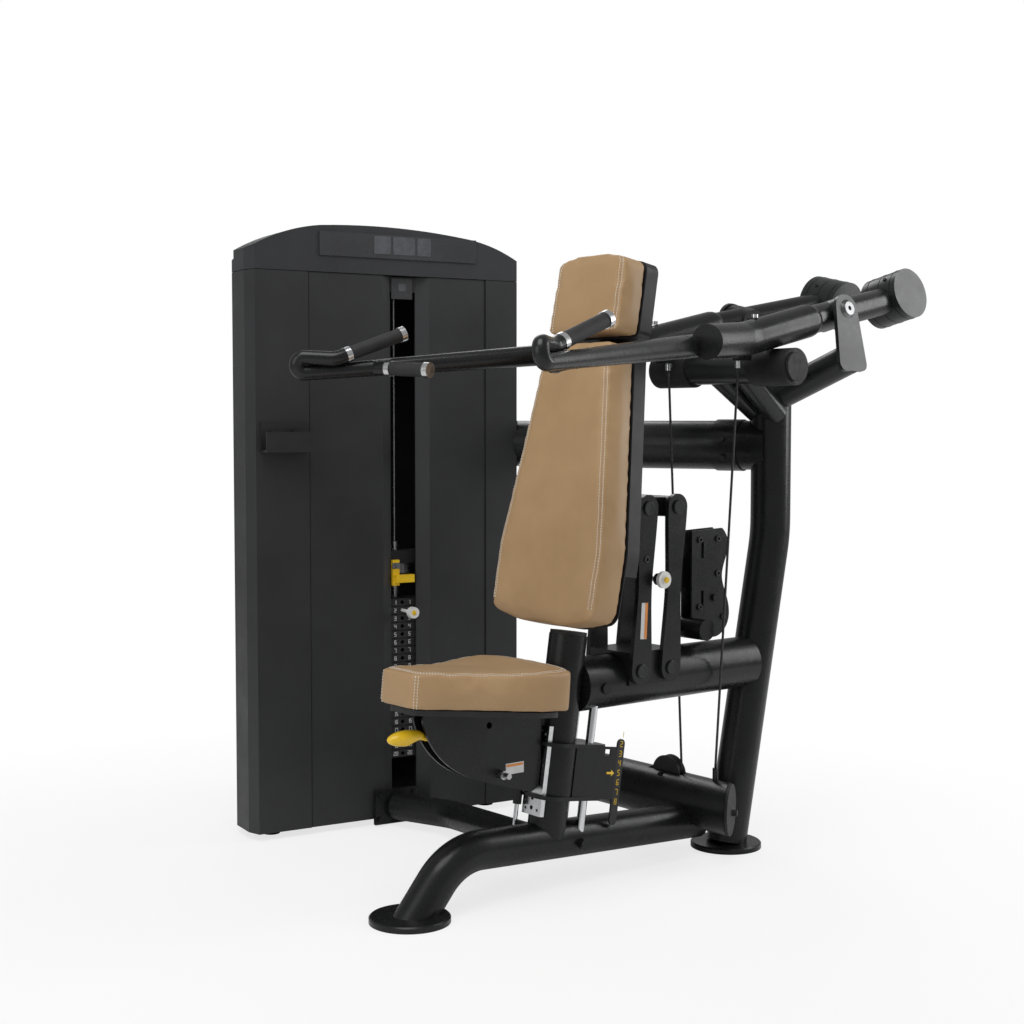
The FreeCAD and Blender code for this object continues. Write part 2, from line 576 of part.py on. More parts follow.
def make_stack(tower_feet):
    """Guide rods, resting plates, lifted plates with their stem, the add-on weight and the pin."""
    turn = -size("tower_turn")
    width = size("plate_w")
    depth = size("plate_d")
    rods = []
    for index, side in enumerate((-1, 1)):
        low = stack_point(side * size("rod_spread"), 0, 54.4)
        high = stack_point(side * size("rod_spread"), 0, size("header_z") - 30.6)
        rods.append(cylinder(f"stack_rod_{index}", "rod_r", low, high))
    keep("stack_guide_rods", group("stack_guide_rods", *rods))
    cushion = []
    for index, side in enumerate((-1, 1)):
        ring = cylinder(f"cushion_{index}", "Sizes.rod_r + 14", stack_point(side * size("rod_spread"), 0, 54.4),
                        stack_point(side * size("rod_spread"), 0, size("stack_floor_z") - 0.4))
        hole = cylinder(f"cushion_hole_{index}", "Sizes.rod_r + 1", stack_point(side * size("rod_spread"), 0, 50),
                        stack_point(side * size("rod_spread"), 0, size("stack_floor_z") + 5))
        cushion.append(cut(f"cushion_ring_{index}", ring, hole))
    keep("rubber_feet", group("rubber_feet", *tower_feet, *cushion))

    def plate(name, level, height):
        """One weight plate with its rod holes, stem hole and pin hole."""
        shape = Part.makeBox(width, depth, height, Vector(-width / 2, -depth / 2, 0))
        for side in (-1, 1):
            bore = Part.makeCylinder(size("rod_r") + 1.5, height + 2, Vector(side * size("rod_spread"), 0, -1))
            shape = shape.cut(bore)
        shape = shape.cut(Part.makeCylinder(size("stem_r") + 1.0, height + 2, Vector(0, 0, -1)))
        pin_hole = Part.makeCylinder(size("pin_r") + 0.8, depth, Vector(0, -depth / 2 - 1, height / 2), Y_AXIS)
        shape = shape.cut(pin_hole)
        base = stack_point(0, 0, level)
        return solid(name, shape, Placement(base, Rotation(tower_along(), tower_out() * -1, Z_AXIS, "ZXY")))

    floor = size("stack_floor_z")
    pitch = size("plate_pitch")
    resting = int(size("rest_plates"))
    lifting = int(size("lift_plates"))
    keep("resting_plates", group("resting_plates", *[
        plate(f"rest_plate_{i}", floor + i * pitch, size("plate_h")) for i in range(resting)]))
    lifted_z = floor + resting * pitch
    keep("lifted_plates", group("lifted_plates", *[
        plate(f"lift_plate_{i}", lifted_z + i * pitch, size("plate_h")) for i in range(lifting)]))
    stem_top = lifted_z + lifting * pitch + 150
    stem = Part.makeCylinder(size("stem_r"), stem_top - floor - 6, Vector(0, 0, floor + 6))
    head = Part.makeBox(70, 44, 26, Vector(-35, -22, lifted_z + lifting * pitch + 64))
    shape = stem.fuse(head)
    for i in range(resting + lifting):
        level = floor + i * pitch + size("plate_h") / 2
        if i == resting:
            shape = shape.cut(Part.makeCylinder(size("pin_r") + 0.8, 60, Vector(0, -30, level), Y_AXIS))
    base = stack_point(0, 0, 0)
    turned = Placement(base, Rotation(tower_along(), tower_out() * -1, Z_AXIS, "ZXY"))
    keep("selector_stem", solid("selector_stem", shape, turned))
    addon_z = lifted_z + lifting * pitch + 92
    body = Part.makeBox(150, 60, size("addon_h"), Vector(-75, -30, addon_z))
    for side in (-1, 1):
        body = body.cut(Part.makeCylinder(size("rod_r") + 1.5, 80, Vector(side * size("rod_spread"), 0, addon_z - 10)))
    body = body.cut(Part.makeCylinder(size("stem_r") + 0.5, 80, Vector(0, 0, addon_z - 10)))
    tab = Part.makeBox(20, 34, 8, Vector(-35, -58, addon_z + 3)).fuse(
        Part.makeBox(20, 8, 68, Vector(-35, -62, addon_z - 56)))
    tab = tab.fuse(Part.makeBox(42, 14, 20, Vector(-17, -72, addon_z - 48)))
    tab = tab.fuse(Part.makeBox(8, 14, 20, Vector(-22, -72, addon_z - 48)))
    keep("addon_weight", solid("addon_weight", body.fuse(tab).removeSplitter(), turned))
    pin_z = lifted_z + size("plate_h") / 2
    rod = Part.makeCylinder(size("pin_r"), size("pin_len") + 48, Vector(0, -depth / 2 - 56, pin_z), Y_AXIS)
    knob = Part.makeCylinder(size("knob_r") + 4, 16, Vector(0, -depth / 2 - 72, pin_z), Y_AXIS)
    keep("selector_pin", solid("selector_pin", rod.fuse(knob).removeSplitter(), turned))


# --- Seat post and seat ----------------------------------------------------------------------------

def post_axis():
    lean = math.radians(size("post_lean"))
    return Vector(0, math.sin(lean), math.cos(lean))


def post_back():
    """Unit vector square to the seat post, towards the rear."""
    lean = math.radians(size("post_lean"))
    return Vector(0, math.cos(lean), -math.sin(lean))


def post_point(x, back, up):
    """A point in the seat post's own directions: across, behind it, and up along it."""
    foot = Vector(0, size("post_y"), size("post_z"))
    return foot + X_AXIS * x + post_back() * back + post_axis() * up


def post_frame(x, back, up):
    """Local x across, local y behind the post, local z up along it."""
    return Placement(post_point(x, back, up), Rotation(X_AXIS, post_back(), post_axis(), "ZXY"))


def make_post(spine):
    """The leaning seat post, coped onto the spine."""
    raw = cylinder("post_raw", "spine_r", post_point(0, 0, 10), post_point(0, 0, size("post_len") - 0.4))
    return keep("seat_post", cut("seat_post", raw, spine))


def make_slide(spine, post, mid_beam):
    """Chrome guide rods from the spine to the mid beam, the fixed scale, the rack and the strut rod."""
    off = size("slide_rod_off")
    length = size("slide_rod_len")
    rods = []
    for index, side in enumerate((-1, 1)):
        x = side * size("slide_rod_x")
        raw = cylinder(f"slide_rod_raw_{index}", "slide_rod_r", post_point(x, off, 0), post_point(x, off, length))
        rods.append(cut(f"slide_rod_{index}", raw, spine, mid_beam))
    keep("seat_guide_rods", group("seat_guide_rods", *rods))
    low = size("carriage_low") + size("carriage_h") / 2
    strip = Part.makeBox(8, 5, length, Vector(-4, off + 28, -6))
    strip = strip.fuse([Part.makeBox(8, 22, 14, Vector(-4, off + 28, low - 7)),
                        Part.makeBox(51, 5, 14, Vector(-4, off + 46, low - 7)),
                        Part.makeBox(5, 40, 14, Vector(42, off + 46, low - 7)),
                        Part.makeBox(5, 22, 180, Vector(42, off + 75, low - 112)),
                        Part.makeCylinder(11, 5, Vector(42, off + 86, low - 112), X_AXIS),
                        Part.makeCylinder(11, 5, Vector(42, off + 86, low + 68), X_AXIS)])
    bar = solid("scale_shape", strip.removeSplitter(), post_frame(0, 0, 0))
    keep("scale_bar", cut("scale_bar", bar, spine, mid_beam))
    rack = Part.makeBox(64, 12, 206, Vector(-30, -size("spine_r") - 10, 60))
    for i in range(8):
        hole = Part.makeCylinder(5, 30, Vector(2, -size("spine_r") - 20, 76 + i * size("seat_pitch")), Y_AXIS)
        rack = rack.cut(hole)
    for x in (-18, 22):
        for up in (73, 246):
            rack = rack.cut(Part.makeCylinder(3.5, 30, Vector(x, -size("spine_r") - 20, up), Y_AXIS))
    rack_obj = solid("rack_shape", rack, post_frame(0, 0, 0))
    keep("height_rack", cut("height_rack", rack_obj, post, spine))
    rod = cylinder("strut_rod_raw", "Sizes.pin_r + 0.5", post_point(-36, -66, -6), post_point(-36, -66, 150))
    foot = cylinder("strut_foot", "Sizes.tee_r * 0.75", post_point(-52, -66, 6), post_point(-20, -66, 6))
    keep("gas_strut_rod", cut("gas_strut_rod", fuse("strut_rod", rod, foot), spine))


def make_carriage():
    """The carriage that slides on the seat post and its guide rods, with the index plate."""
    height = size("carriage_h")
    radius = size("spine_r")
    off = size("slide_rod_off")
    gap = 0.4
    wall = 9.0

    def slab(level, thick):
        edges = [e.toShape() for e in rounded_outline(
            [(-62, -62), (62, -62), (50, off + 41), (-50, off + 41)], [40, 40, 18, 18])]
        piece = Part.Face(Part.Wire(edges)).extrude(Vector(0, 0, thick))
        piece.translate(Vector(0, 0, level))
        return piece

    shape = slab(0, 9).fuse([slab(height - 9, 9), Part.makeCylinder(radius + wall, height)])
    for side in (-1, 1):
        shape = shape.fuse(Part.makeCylinder(size("slide_rod_r") + 6, height, Vector(side * size("slide_rod_x"), off, 0)))
    shape = shape.cut(Part.makeCylinder(radius + gap, height + 2, Vector(0, 0, -1)))
    for side in (-1, 1):
        bore = Part.makeCylinder(size("slide_rod_r") + size("running_gap"), height + 2,
                                 Vector(side * size("slide_rod_x"), off, -1))
        shape = shape.cut(bore)
    rack_slot = Part.makeBox(67, 14, height + 2, Vector(-31.5, -radius - 11.5, -1))
    strut_bore = Part.makeCylinder(size("slide_rod_r") + 0.0, height + 2, Vector(-36, -66, -1))
    strip_notch = Part.makeBox(16, 30, height + 2, Vector(-8, off + 24, -1))
    index = Part.makeBox(4, off + 50, height - 8, Vector(48.5, 20, 4))
    index = index.cut(Part.makeBox(6, 17, 14, Vector(47.5, off + 32, height - 24)))
    ties = [Part.makeBox(16, 14, 9, Vector(36, 30, level)) for level in (0, height - 9)]
    shape = shape.cut(rack_slot).cut(strip_notch).fuse([index] + ties).cut(strut_bore).removeSplitter()
    place = post_frame(0, 0, size("carriage_low"))
    carriage = keep("seat_carriage", solid("seat_carriage", shape, place))
    body = cylinder("strut_cylinder", "Sizes.slide_rod_r", post_point(-36, -66, 78), post_point(-36, -66, 222))
    bore = cylinder("strut_bore", "Sizes.pin_r + 0.5 + Sizes.running_gap", post_point(-36, -66, 77),
                    post_point(-36, -66, 216))
    keep("gas_strut_body", cut("gas_strut_body", body, bore))
    return carriage


def make_seat_bracket(carriage, board):
    """Two curved side plates that carry the seat in front of the carriage, and their cross spacers."""
    outline = [Vector(28, 455, 0), Vector(22, 436, 0), Vector(42, 384, 0), Vector(95, 326, 0), Vector(200, 276, 0),
               Vector(322, 238, 0), Vector(352, 252, 0), Vector(352, 424, 0)]
    front = Part.BSplineCurve()
    front.interpolate(outline[1:6])
    edges = [Part.LineSegment(outline[0], outline[1]).toShape(), front.toShape(),
             Part.LineSegment(outline[5], outline[6]).toShape(), Part.LineSegment(outline[6], outline[7]).toShape(),
             Part.LineSegment(outline[7], outline[0]).toShape()]
    face = Part.Face(Part.Wire(edges))
    thick = size("bracket_thick")
    plates = []
    for index, x in enumerate((size("bracket_x") - thick, -size("bracket_x"))):
        sheet_metal = face.extrude(Vector(0, 0, thick))
        hole = Part.makeCylinder(7.5, thick + 2, Vector(203, 405, -1))
        place = Placement(Vector(x, 0, 0), Rotation(Y_AXIS, Z_AXIS, X_AXIS, "ZXY"))
        plates.append(solid(f"bracket_side_{index}", sheet_metal.cut(hole), place))
    spacers = []
    inner = size("bracket_x") - thick
    for index, (y, z) in enumerate(((60.0, 440.0), (300.0, 262.0), (330.0, 400.0))):
        spacers.append(cylinder(f"bracket_spacer_{index}", "Sizes.slide_rod_r", Vector(-inner, y, z), Vector(inner, y, z)))
    rack_room = solid("rack_room", Part.makeBox(69, 200, 500, Vector(-32.5, -57, -100)), post_frame(0, 0, 0))
    weld = fuse("bracket_weldment", *plates, *spacers)
    return keep("seat_bracket", cut("seat_bracket", weld, carriage, board, rack_room))


def seat_frame():
    """Local x across, local y back along the seat, local z square to it."""
    lean = math.radians(size("seat_lean"))
    up = Vector(0, math.sin(lean), math.cos(lean))
    base = Vector(0, size("seat_rear_y"), size("seat_base_z"))
    return Placement(base, Rotation(X_AXIS, up.cross(X_AXIS), up, "ZXY"))


def seat_outline(margin):
    """Plan outline of the seat: a narrow nose that widens to rounded rear corners."""
    length = (size("seat_rear_y") - size("seat_front_y")) / math.cos(math.radians(size("seat_lean")))
    nose = size("seat_nose_half") - margin
    rear = size("seat_rear_half") - margin
    points = [(-nose, -length + margin), (nose, -length + margin), (nose + 40, -length * 0.62), (rear, -length * 0.24),
              (rear, -margin), (-rear, -margin), (-rear, -length * 0.24), (-nose - 40, -length * 0.62)]
    return rounded_outline(points, [26, 26, 120, 80, 36, 36, 80, 120])


def make_seat():
    """The seat board and the upholstered seat pad on it."""
    place = seat_frame()
    board_place = Placement(place.Base - place.Rotation.multVec(Z_AXIS) * (size("board_thick") + 0.3), place.Rotation)
    board = body_with_pad("seat_board", seat_outline(18), "Sizes.board_thick", placement=board_place)
    keep("seat_board", board)
    board_solid = board
    pad = body_with_pad("seat_pad_body", seat_outline(0), "Sizes.seat_thick", placement=place)
    keep("seat_pad", pad)
    return board_solid


def make_seat_controls():
    """The seat lever on its shaft, and the sprung latch pin of the height rack."""
    shaft = cylinder("lever_shaft", "Sizes.pin_r + 2", Vector(0, 118, 372), Vector(0, 30, 398))
    leaf = Part.makeSphere(1.0)
    scale = FreeCAD.Matrix()
    scale.scale(20, 48, 17)
    leaf = leaf.transformGeometry(scale)
    leaf.translate(Vector(0, -8, 400))
    scoop = Part.makeSphere(1.0)
    scoop_scale = FreeCAD.Matrix()
    scoop_scale.scale(30, 34, 12)
    scoop = scoop.transformGeometry(scoop_scale)
    scoop.translate(Vector(0, 22, 386))
    blade = solid("lever_blade", leaf.cut(scoop))
    pivot = cylinder("lever_pivot", "Sizes.pin_r + 3", Vector(-12, 118, 372), Vector(12, 118, 372))
    keep("seat_lever", fuse("seat_lever", shaft, blade, pivot))
    out_x = size("bracket_x") + 0.6
    sleeve = cylinder("latch_sleeve", "Sizes.slide_rod_r", Vector(out_x, 232, 292), Vector(out_x + 16, 232, 292))
    knob = cylinder("latch_knob", "Sizes.pin_r + 2", Vector(out_x + 16, 232, 292), Vector(out_x + 34, 232, 292))
    keep("latch_pin", fuse("latch_pin", sleeve, knob))


# --- Back rest -------------------------------------------------------------------------------------

def back_axis():
    lean = math.radians(size("back_lean"))
    return Vector(0, math.sin(lean), math.cos(lean))


def back_normal():
    """Unit vector out of the back rest's rear face, towards the rear."""
    lean = math.radians(size("back_lean"))
    return Vector(0, math.cos(lean), -math.sin(lean))


def back_frame(depth, up_z):
    """Local x across, local y up the pad, local z towards the rear, at a depth behind the front face."""
    rise = (up_z - size("back_z")) / math.cos(math.radians(size("back_lean")))
    base = Vector(0, size("back_y"), size("back_z")) + back_axis() * rise + back_normal() * depth
    return Placement(base, Rotation(X_AXIS * -1, back_axis(), back_normal(), "ZXY"))


def back_outline(margin):
    """The back pad: widest near its rounded bottom, tapering to the top."""
    height = (size("back_high_z") - size("back_low_z")) / math.cos(math.radians(size("back_lean")))
    low = size("back_low_half") - margin
    high = size("back_high_half") - margin
    points = [(-low * 0.45, margin), (low * 0.45, margin), (low, 22 + margin * 0.4), (low + 3, height * 0.27),
              (high, height - margin), (-high, height - margin), (-low - 3, height * 0.27), (-low, 22 + margin * 0.4)]
    return rounded_outline(points, [200, 200, 34, 160, 16, 16, 160, 34])


def head_outline(margin):
    """The head pad: a rounded block whose top edge is arched."""
    height = (size("head_high_z") - size("head_low_z")) / math.cos(math.radians(size("back_lean")))
    half = size("head_half") - margin
    points = [(-half, margin), (half, margin), (half - 3, height - 13 - margin), (half * 0.45, height - margin),
              (-half * 0.45, height - margin), (-half + 3, height - 13 - margin)]
    return rounded_outline(points, [16, 16, 26, 200, 200, 26])


def make_back_rest():
    """Back pad and head pad, each with its moulded shell, on one steel carrier."""
    thick = size("back_thick")
    pad = body_with_pad("back_pad_body", back_outline(0), "Sizes.back_thick", placement=back_frame(0, size("back_low_z")))
    keep("back_pad", pad)
    head = body_with_pad("head_pad_body", head_outline(0), "Sizes.back_thick - 8",
                         placement=back_frame(8, size("head_low_z")))
    keep("head_pad", head)
    shells = []
    for name, outline, low in (("back", back_outline(1.5), "back_low_z"), ("head", head_outline(1.5), "head_low_z")):
        shell = body_with_pad(f"{name}_shell_body", outline, "Sizes.shell_thick", placement=back_frame(thick + 0.4, size(low)))
        shells.append(shell)
    wedge = Part.makeBox(500, 260, 70, Vector(-250, -250, -4))
    wedge.rotate(Vector(0, 0, 6), X_AXIS, -24)
    tool = solid("shell_wedge", wedge, back_frame(thick + 6, size("back_low_z") + 120))
    shells[0] = cut("back_shell_cut", shells[0], tool)
    keep("pad_shells", group("pad_shells", *shells))


def link_axis():
    lean = math.radians(size("link_lean"))
    return Vector(0, math.sin(lean), math.cos(lean))


def link_pivots():
    """Lower front, upper front, lower rear and upper rear pivots of the back rest's linkage."""
    low_front = Vector(0, size("link_y"), size("link_z"))
    low_rear = low_front + Y_AXIS * size("link_gap")
    rise = link_axis() * size("link_len")
    return low_front, low_front + rise, low_rear, low_rear + rise


def link_pair(name, low):
    """Two dog-bone links, one on each side, waisted in the middle, with pin holes at both ends."""
    length = size("link_len")
    end = size("link_r")
    waist = size("link_waist")
    profile = Part.BSplineCurve()
    profile.interpolate([Vector(end, 0, 0), Vector(waist + 4, length * 0.28, 0), Vector(waist, length * 0.5, 0),
                         Vector(waist + 4, length * 0.72, 0), Vector(end, length, 0)])
    mirror = Part.BSplineCurve()
    mirror.interpolate([Vector(-end, length, 0), Vector(-waist - 4, length * 0.72, 0), Vector(-waist, length * 0.5, 0),
                        Vector(-waist - 4, length * 0.28, 0), Vector(-end, 0, 0)])
    cap_top = Part.Arc(Vector(end, length, 0), Vector(0, length + end, 0), Vector(-end, length, 0))
    cap_low = Part.Arc(Vector(-end, 0, 0), Vector(0, -end, 0), Vector(end, 0, 0))
    face = Part.Face(Part.Wire([profile.toShape(), cap_top.toShape(), mirror.toShape(), cap_low.toShape()]))
    bone = face.extrude(Vector(0, 0, size("link_thick")))
    hole_r = size("link_pin_r") + size("running_gap")
    for up in (0, length):
        bone = bone.cut(Part.makeCylinder(hole_r, size("link_thick") + 2, Vector(0, up, -1)))
    parts = []
    for index, x in enumerate((size("link_x"), -size("link_x") - size("link_thick"))):
        across = link_axis().cross(X_AXIS)
        place = Placement(Vector(x, low.y, low.z), Rotation(across, link_axis(), X_AXIS, "ZXY"))
        parts.append(solid(f"{name}_{index}", bone, place))
    return parts


def make_linkage(mid_beam):
    """Both link pairs, the fixed mount on the mid beam and the moving carrier behind the pads."""
    low_front, top_front, low_rear, top_rear = link_pivots()
    keep("front_links", group("front_links", *link_pair("front_link", low_front)))
    keep("rear_links", group("rear_links", *link_pair("rear_link", low_rear)))
    inner = size("link_x") - 1.5
    pin_out = size("link_x") + size("link_thick") + 4
    saddle = block("mount_saddle", Vector(-inner, low_front.y - 28, low_front.z - 34), 2 * inner, 152.0, 78.0)
    fixed = [saddle]
    for index, low in enumerate((low_front, low_rear)):
        fixed.append(cylinder(f"mount_pin_{index}", "link_pin_r", low - X_AXIS * pin_out, low + X_AXIS * pin_out))
    keep("link_mount", cut("link_mount", fuse("link_mount_raw", *fixed), mid_beam))
    moving = []
    for index, top in enumerate((top_front, top_rear)):
        boss = cylinder(f"carrier_boss_{index}", "Sizes.link_r - 6", top - X_AXIS * inner, top + X_AXIS * inner)
        radius = "link_pin_r" if index == 0 else "Sizes.link_pin_r - 0.4"
        pin = cylinder(f"carrier_pin_{index}", radius, top - X_AXIS * pin_out, top + X_AXIS * pin_out)
        moving += [boss, pin]
    bar = Part.makeBox(30, size("link_gap") + 124, 44, Vector(-15, -62, -22))
    for index, x in enumerate((-40.0, 40.0)):
        moving.append(solid(f"carrier_cheek_{index}", bar, Placement(Vector(x, top_front.y - 36, top_front.z), Rotation())))
    rail_place = back_frame(size("back_thick") + size("shell_thick") + 0.8, size("back_low_z"))
    rail = Part.makeBox(110, 680, 24, Vector(-55, 115, 0))
    moving.append(solid("carrier_rail", rail, rail_place))
    keep("pad_carrier", fuse("pad_carrier", *moving))


def make_pop_pin():
    """The sprung pin that locks the linkage, through the near front link."""
    low_front, top_front, low_rear, top_rear = link_pivots()
    centre = low_front + link_axis() * (size("link_len") * 0.56) + Y_AXIS * 36
    x = size("link_x") + size("link_thick") + 0.5
    stem = cylinder("pop_stem", "Sizes.pin_r + 1", centre + X_AXIS * (x - 40), centre + X_AXIS * (x + 22))
    collar = cylinder("pop_collar", "Sizes.knob_r + 2", centre + X_AXIS * x, centre + X_AXIS * (x + 13))
    disc = cylinder("pop_disc", "Sizes.knob_r + 9", centre + X_AXIS * (x + 18), centre + X_AXIS * (x + 27))
    button = cylinder("pop_button", "Sizes.knob_r - 2", centre + X_AXIS * (x + 26), centre + X_AXIS * (x + 31))
    keep("pop_pin", fuse("pop_pin", stem, collar, disc, button))


def make_guard(mid_beam):
    """The wavy pulley cage on the mid beam: two plates, their cross tube and the guide pulleys."""
    top = 812.0
    low = 545.0
    front = 836.0
    back = 966.0
    wave = [Vector(front, low + 12, 0), Vector(front + 60, low, 0), Vector(back - 30, low + 2, 0),
            Vector(back - 2, low + 32, 0), Vector(back - 2, low + 82, 0), Vector(back - 24, low + 150, 0),
            Vector(back - 3, low + 222, 0), Vector(back - 24, top, 0), Vector(front, top - 4, 0)]
    edge = Part.BSplineCurve()
    edge.interpolate(wave[1:8])
    wire = Part.Wire([Part.LineSegment(wave[0], wave[1]).toShape(), edge.toShape(),
                      Part.LineSegment(wave[7], wave[8]).toShape(), Part.LineSegment(wave[8], wave[0]).toShape()])
    face = Part.Face(wire)
    parts = []
    for index, x in enumerate((size("guard_x"), -size("guard_x") - size("guard_thick"))):
        plate = face.extrude(Vector(0, 0, size("guard_thick")))
        for y, z in ((872, 760), (872, 640)):
            slot = Part.makeBox(9, 40, 12, Vector(y - 4, z - 20, -2))
            plate = plate.cut(slot)
        place = Placement(Vector(x, 0, 0), Rotation(Y_AXIS, Z_AXIS, X_AXIS, "ZXY"))
        parts.append(solid(f"guard_plate_{index}", plate, place))
    tube = cylinder("guard_tube", "Sizes.bar_r - 1", Vector(-52, 842, 569), Vector(66, 842, 569))
    axle = cylinder("guard_axle", "link_pin_r", Vector(-26, 914, 640), Vector(26, 914, 640))
    cage = fuse("guard_cage", *parts, tube, axle)
    keep("cable_guard", cut("cable_guard", cage, mid_beam))
    keep("guard_pulley", sheave("guard_pulley", Vector(0, 914, 640), X_AXIS, size("guard_sheave_r"),
                                size("link_pin_r") + size("running_gap")))


def sheave(name, centre, axis, radius, bore):
    """A grooved pulley wheel: a disc with a V groove and a bore."""
    half = size("sheave_thick")
    depth = 7.0
    profile = [Vector(bore, 0, -half), Vector(radius, 0, -half), Vector(radius, 0, -half + 2),
               Vector(radius - depth, 0, -2.4), Vector(radius - depth, 0, 2.4), Vector(radius, 0, half - 2),
               Vector(radius, 0, half), Vector(bore, 0, half)]
    wire = Part.makePolygon(profile + profile[:1])
    shape = Part.Face(wire).revolve(Vector(0, 0, 0), Z_AXIS, 360)
    return solid(name, shape, frame_at(centre, axis))


# --- Press arms ------------------------------------------------------------------------------------

def pivot_axis(side):
    tilt = math.radians(size("pivot_tilt"))
    return Vector(side * math.cos(tilt), 0, math.sin(tilt))


def pivot_end(side):
    """The centre of a side plate's outer face, on the arm's pivot axis."""
    return Vector(side * size("pivot_x"), size("pivot_y"), size("pivot_z"))


def plate_frame(side):
    """Local x forward, local y up the side plate, local z outward."""
    out = pivot_axis(side)
    up = Vector(-side * math.sin(math.radians(size("pivot_tilt"))), 0, math.cos(math.radians(size("pivot_tilt"))))
    return Placement(pivot_end(side), Rotation(up.cross(out), up, out, "ZXY")), up, out


def make_head(upright, upper_beam, caps):
    """The welded arm head: the stop tube, the strut with its gusset, and the two pivot beams."""
    half = size("stop_half")
    y = size("stop_y")
    z = size("stop_z")
    stop = cylinder("stop_raw", "head_r", Vector(-half, y, z), Vector(half, y, z))
    strut_low = Vector(0, size("upright_bend_y") - 12, size("upright_top_z") - 22)
    strut_top = Vector(0, y + 14, z - 6)
    struts = []
    for index, x in enumerate((-46.0, 46.0)):
        struts.append(cylinder(f"strut_{index}", "Sizes.head_r * 0.82", strut_low + X_AXIS * (x * 0.55),
                               strut_top + X_AXIS * x))
    web_points = [(strut_low.y, strut_low.z - 30), (strut_low.y + 20, strut_low.z + 40), (y + 40, z + 10), (y + 2, z - 28)]
    web = Part.Face(Part.makePolygon([Vector(-5, a, b) for a, b in web_points + web_points[:1]])).extrude(Vector(10, 0, 0))
    beams = []
    for index, side in enumerate((-1, 1)):
        place, up, out = plate_frame(side)
        foot = pivot_end(side) - up * (size("plate_drop") - 36) - out * (size("plate_thick") + 0.3)
        start = Vector(0, size("upright_bend_y") - 6, size("upright_top_z") + 14)
        beam = cylinder(f"pivot_beam_{index}", "head_r", start, foot + out * 30)
        beyond = solid(f"beam_trim_{index}", Part.makeBox(300, 400, 200, Vector(-150, -200, 0)),
                       Placement(pivot_end(side) - out * (size("plate_thick") + 0.0), place.Rotation))
        beams.append(cut(f"pivot_beam_cut_{index}", beam, beyond))
    cap = cylinder("head_knuckle", "Sizes.upright_r", Vector(0, size("upright_bend_y"), size("upright_top_z") - 10),
                   Vector(0, size("upright_bend_y"), size("upright_top_z") + 40))
    weld = fuse("head_weldment", stop, *struts, solid("strut_web", web), *beams, cap)
    head = keep("arm_head", cut("arm_head", weld, upright, upper_beam))
    bumpers = []
    for index, side in enumerate((-1, 1)):
        inner = half - size("bumper_len")
        low = Vector(side * inner, y, z)
        high = Vector(side * half, y, z)
        ring = cylinder(f"bumper_outer_{index}", "bumper_r", low, high)
        core = cylinder(f"bumper_core_{index}", "Sizes.head_r", Vector(side * (inner - 5), y, z),
                        Vector(side * (half + 5), y, z))
        end = cylinder(f"bumper_end_{index}", "Sizes.head_r - 2", high + X_AXIS * (side * 0.3), high + X_AXIS * (side * 8.3))
        bumpers += [cut(f"bumper_{index}", ring, core), end]
    keep("bumpers_and_caps", group("bumpers_and_caps", *bumpers, *caps))
    return head


def make_side_plates():
    """The teardrop side plates that carry the outer ends of the arm axles."""
    top = size("plate_top_r")
    foot = size("plate_foot_half")
    drop = size("plate_drop")
    parts = []
    for index, side in enumerate((-1, 1)):
        place, up, out = plate_frame(side)
        toward_rear = -side * 14.0
        points = [(-foot + toward_rear, -drop - 6), (foot + toward_rear, -drop - 6), (top, top), (-top, top)]
        edges = [e.toShape() for e in rounded_outline(points, [20, 20, top - 1, top - 1])]
        shape = Part.Face(Part.Wire(edges)).extrude(Vector(0, 0, -size("plate_thick")))
        shape = shape.cut(Part.makeCylinder(size("axle_r") + 0.02, 40, Vector(0, 0, -20)))
        parts.append(solid(f"side_plate_{index}", shape, place))
    keep("side_plates", group("side_plates", *parts))
    axles = []
    for index, side in enumerate((-1, 1)):
        place, up, out = plate_frame(side)
        shaft = Part.makeCylinder(size("axle_r"), size("axle_len"), Vector(0, 0, -size("axle_len") + 4))
        head = Part.makeCone(size("axle_head_r"), size("axle_head_r") - 7, size("axle_head_len"), Vector(0, 0, 0.3))
        socket = Part.makeCylinder(6, 9, Vector(0, 0, 3))
        axles.append(solid(f"axle_{index}", shaft.fuse(head).cut(socket).removeSplitter(), place))
    keep("arm_axles", group("arm_axles", *axles))


def arm_points(side):
    """The arm's main points: hub centre, rear end, elbow run and the line of the handle bar."""
    out = pivot_axis(side)
    hub = pivot_end(side) - out * (size("plate_thick") + size("side_gap") + size("hub_len") / 2)
    return {
        "hub": hub,
        "rear": Vector(side * 106, 1496, 1400),
        "elbow": [Vector(side * 162, 1082, 1322), Vector(side * 172, 850, 1270), Vector(side * 214, 682, 1257)],
        "bar": [Vector(side * 168, 890, 1264), Vector(side * 154, 712, 1252),
                Vector(side * size("bar_tip_x"), size("bar_tip_y"), size("bar_tip_z"))],
    }


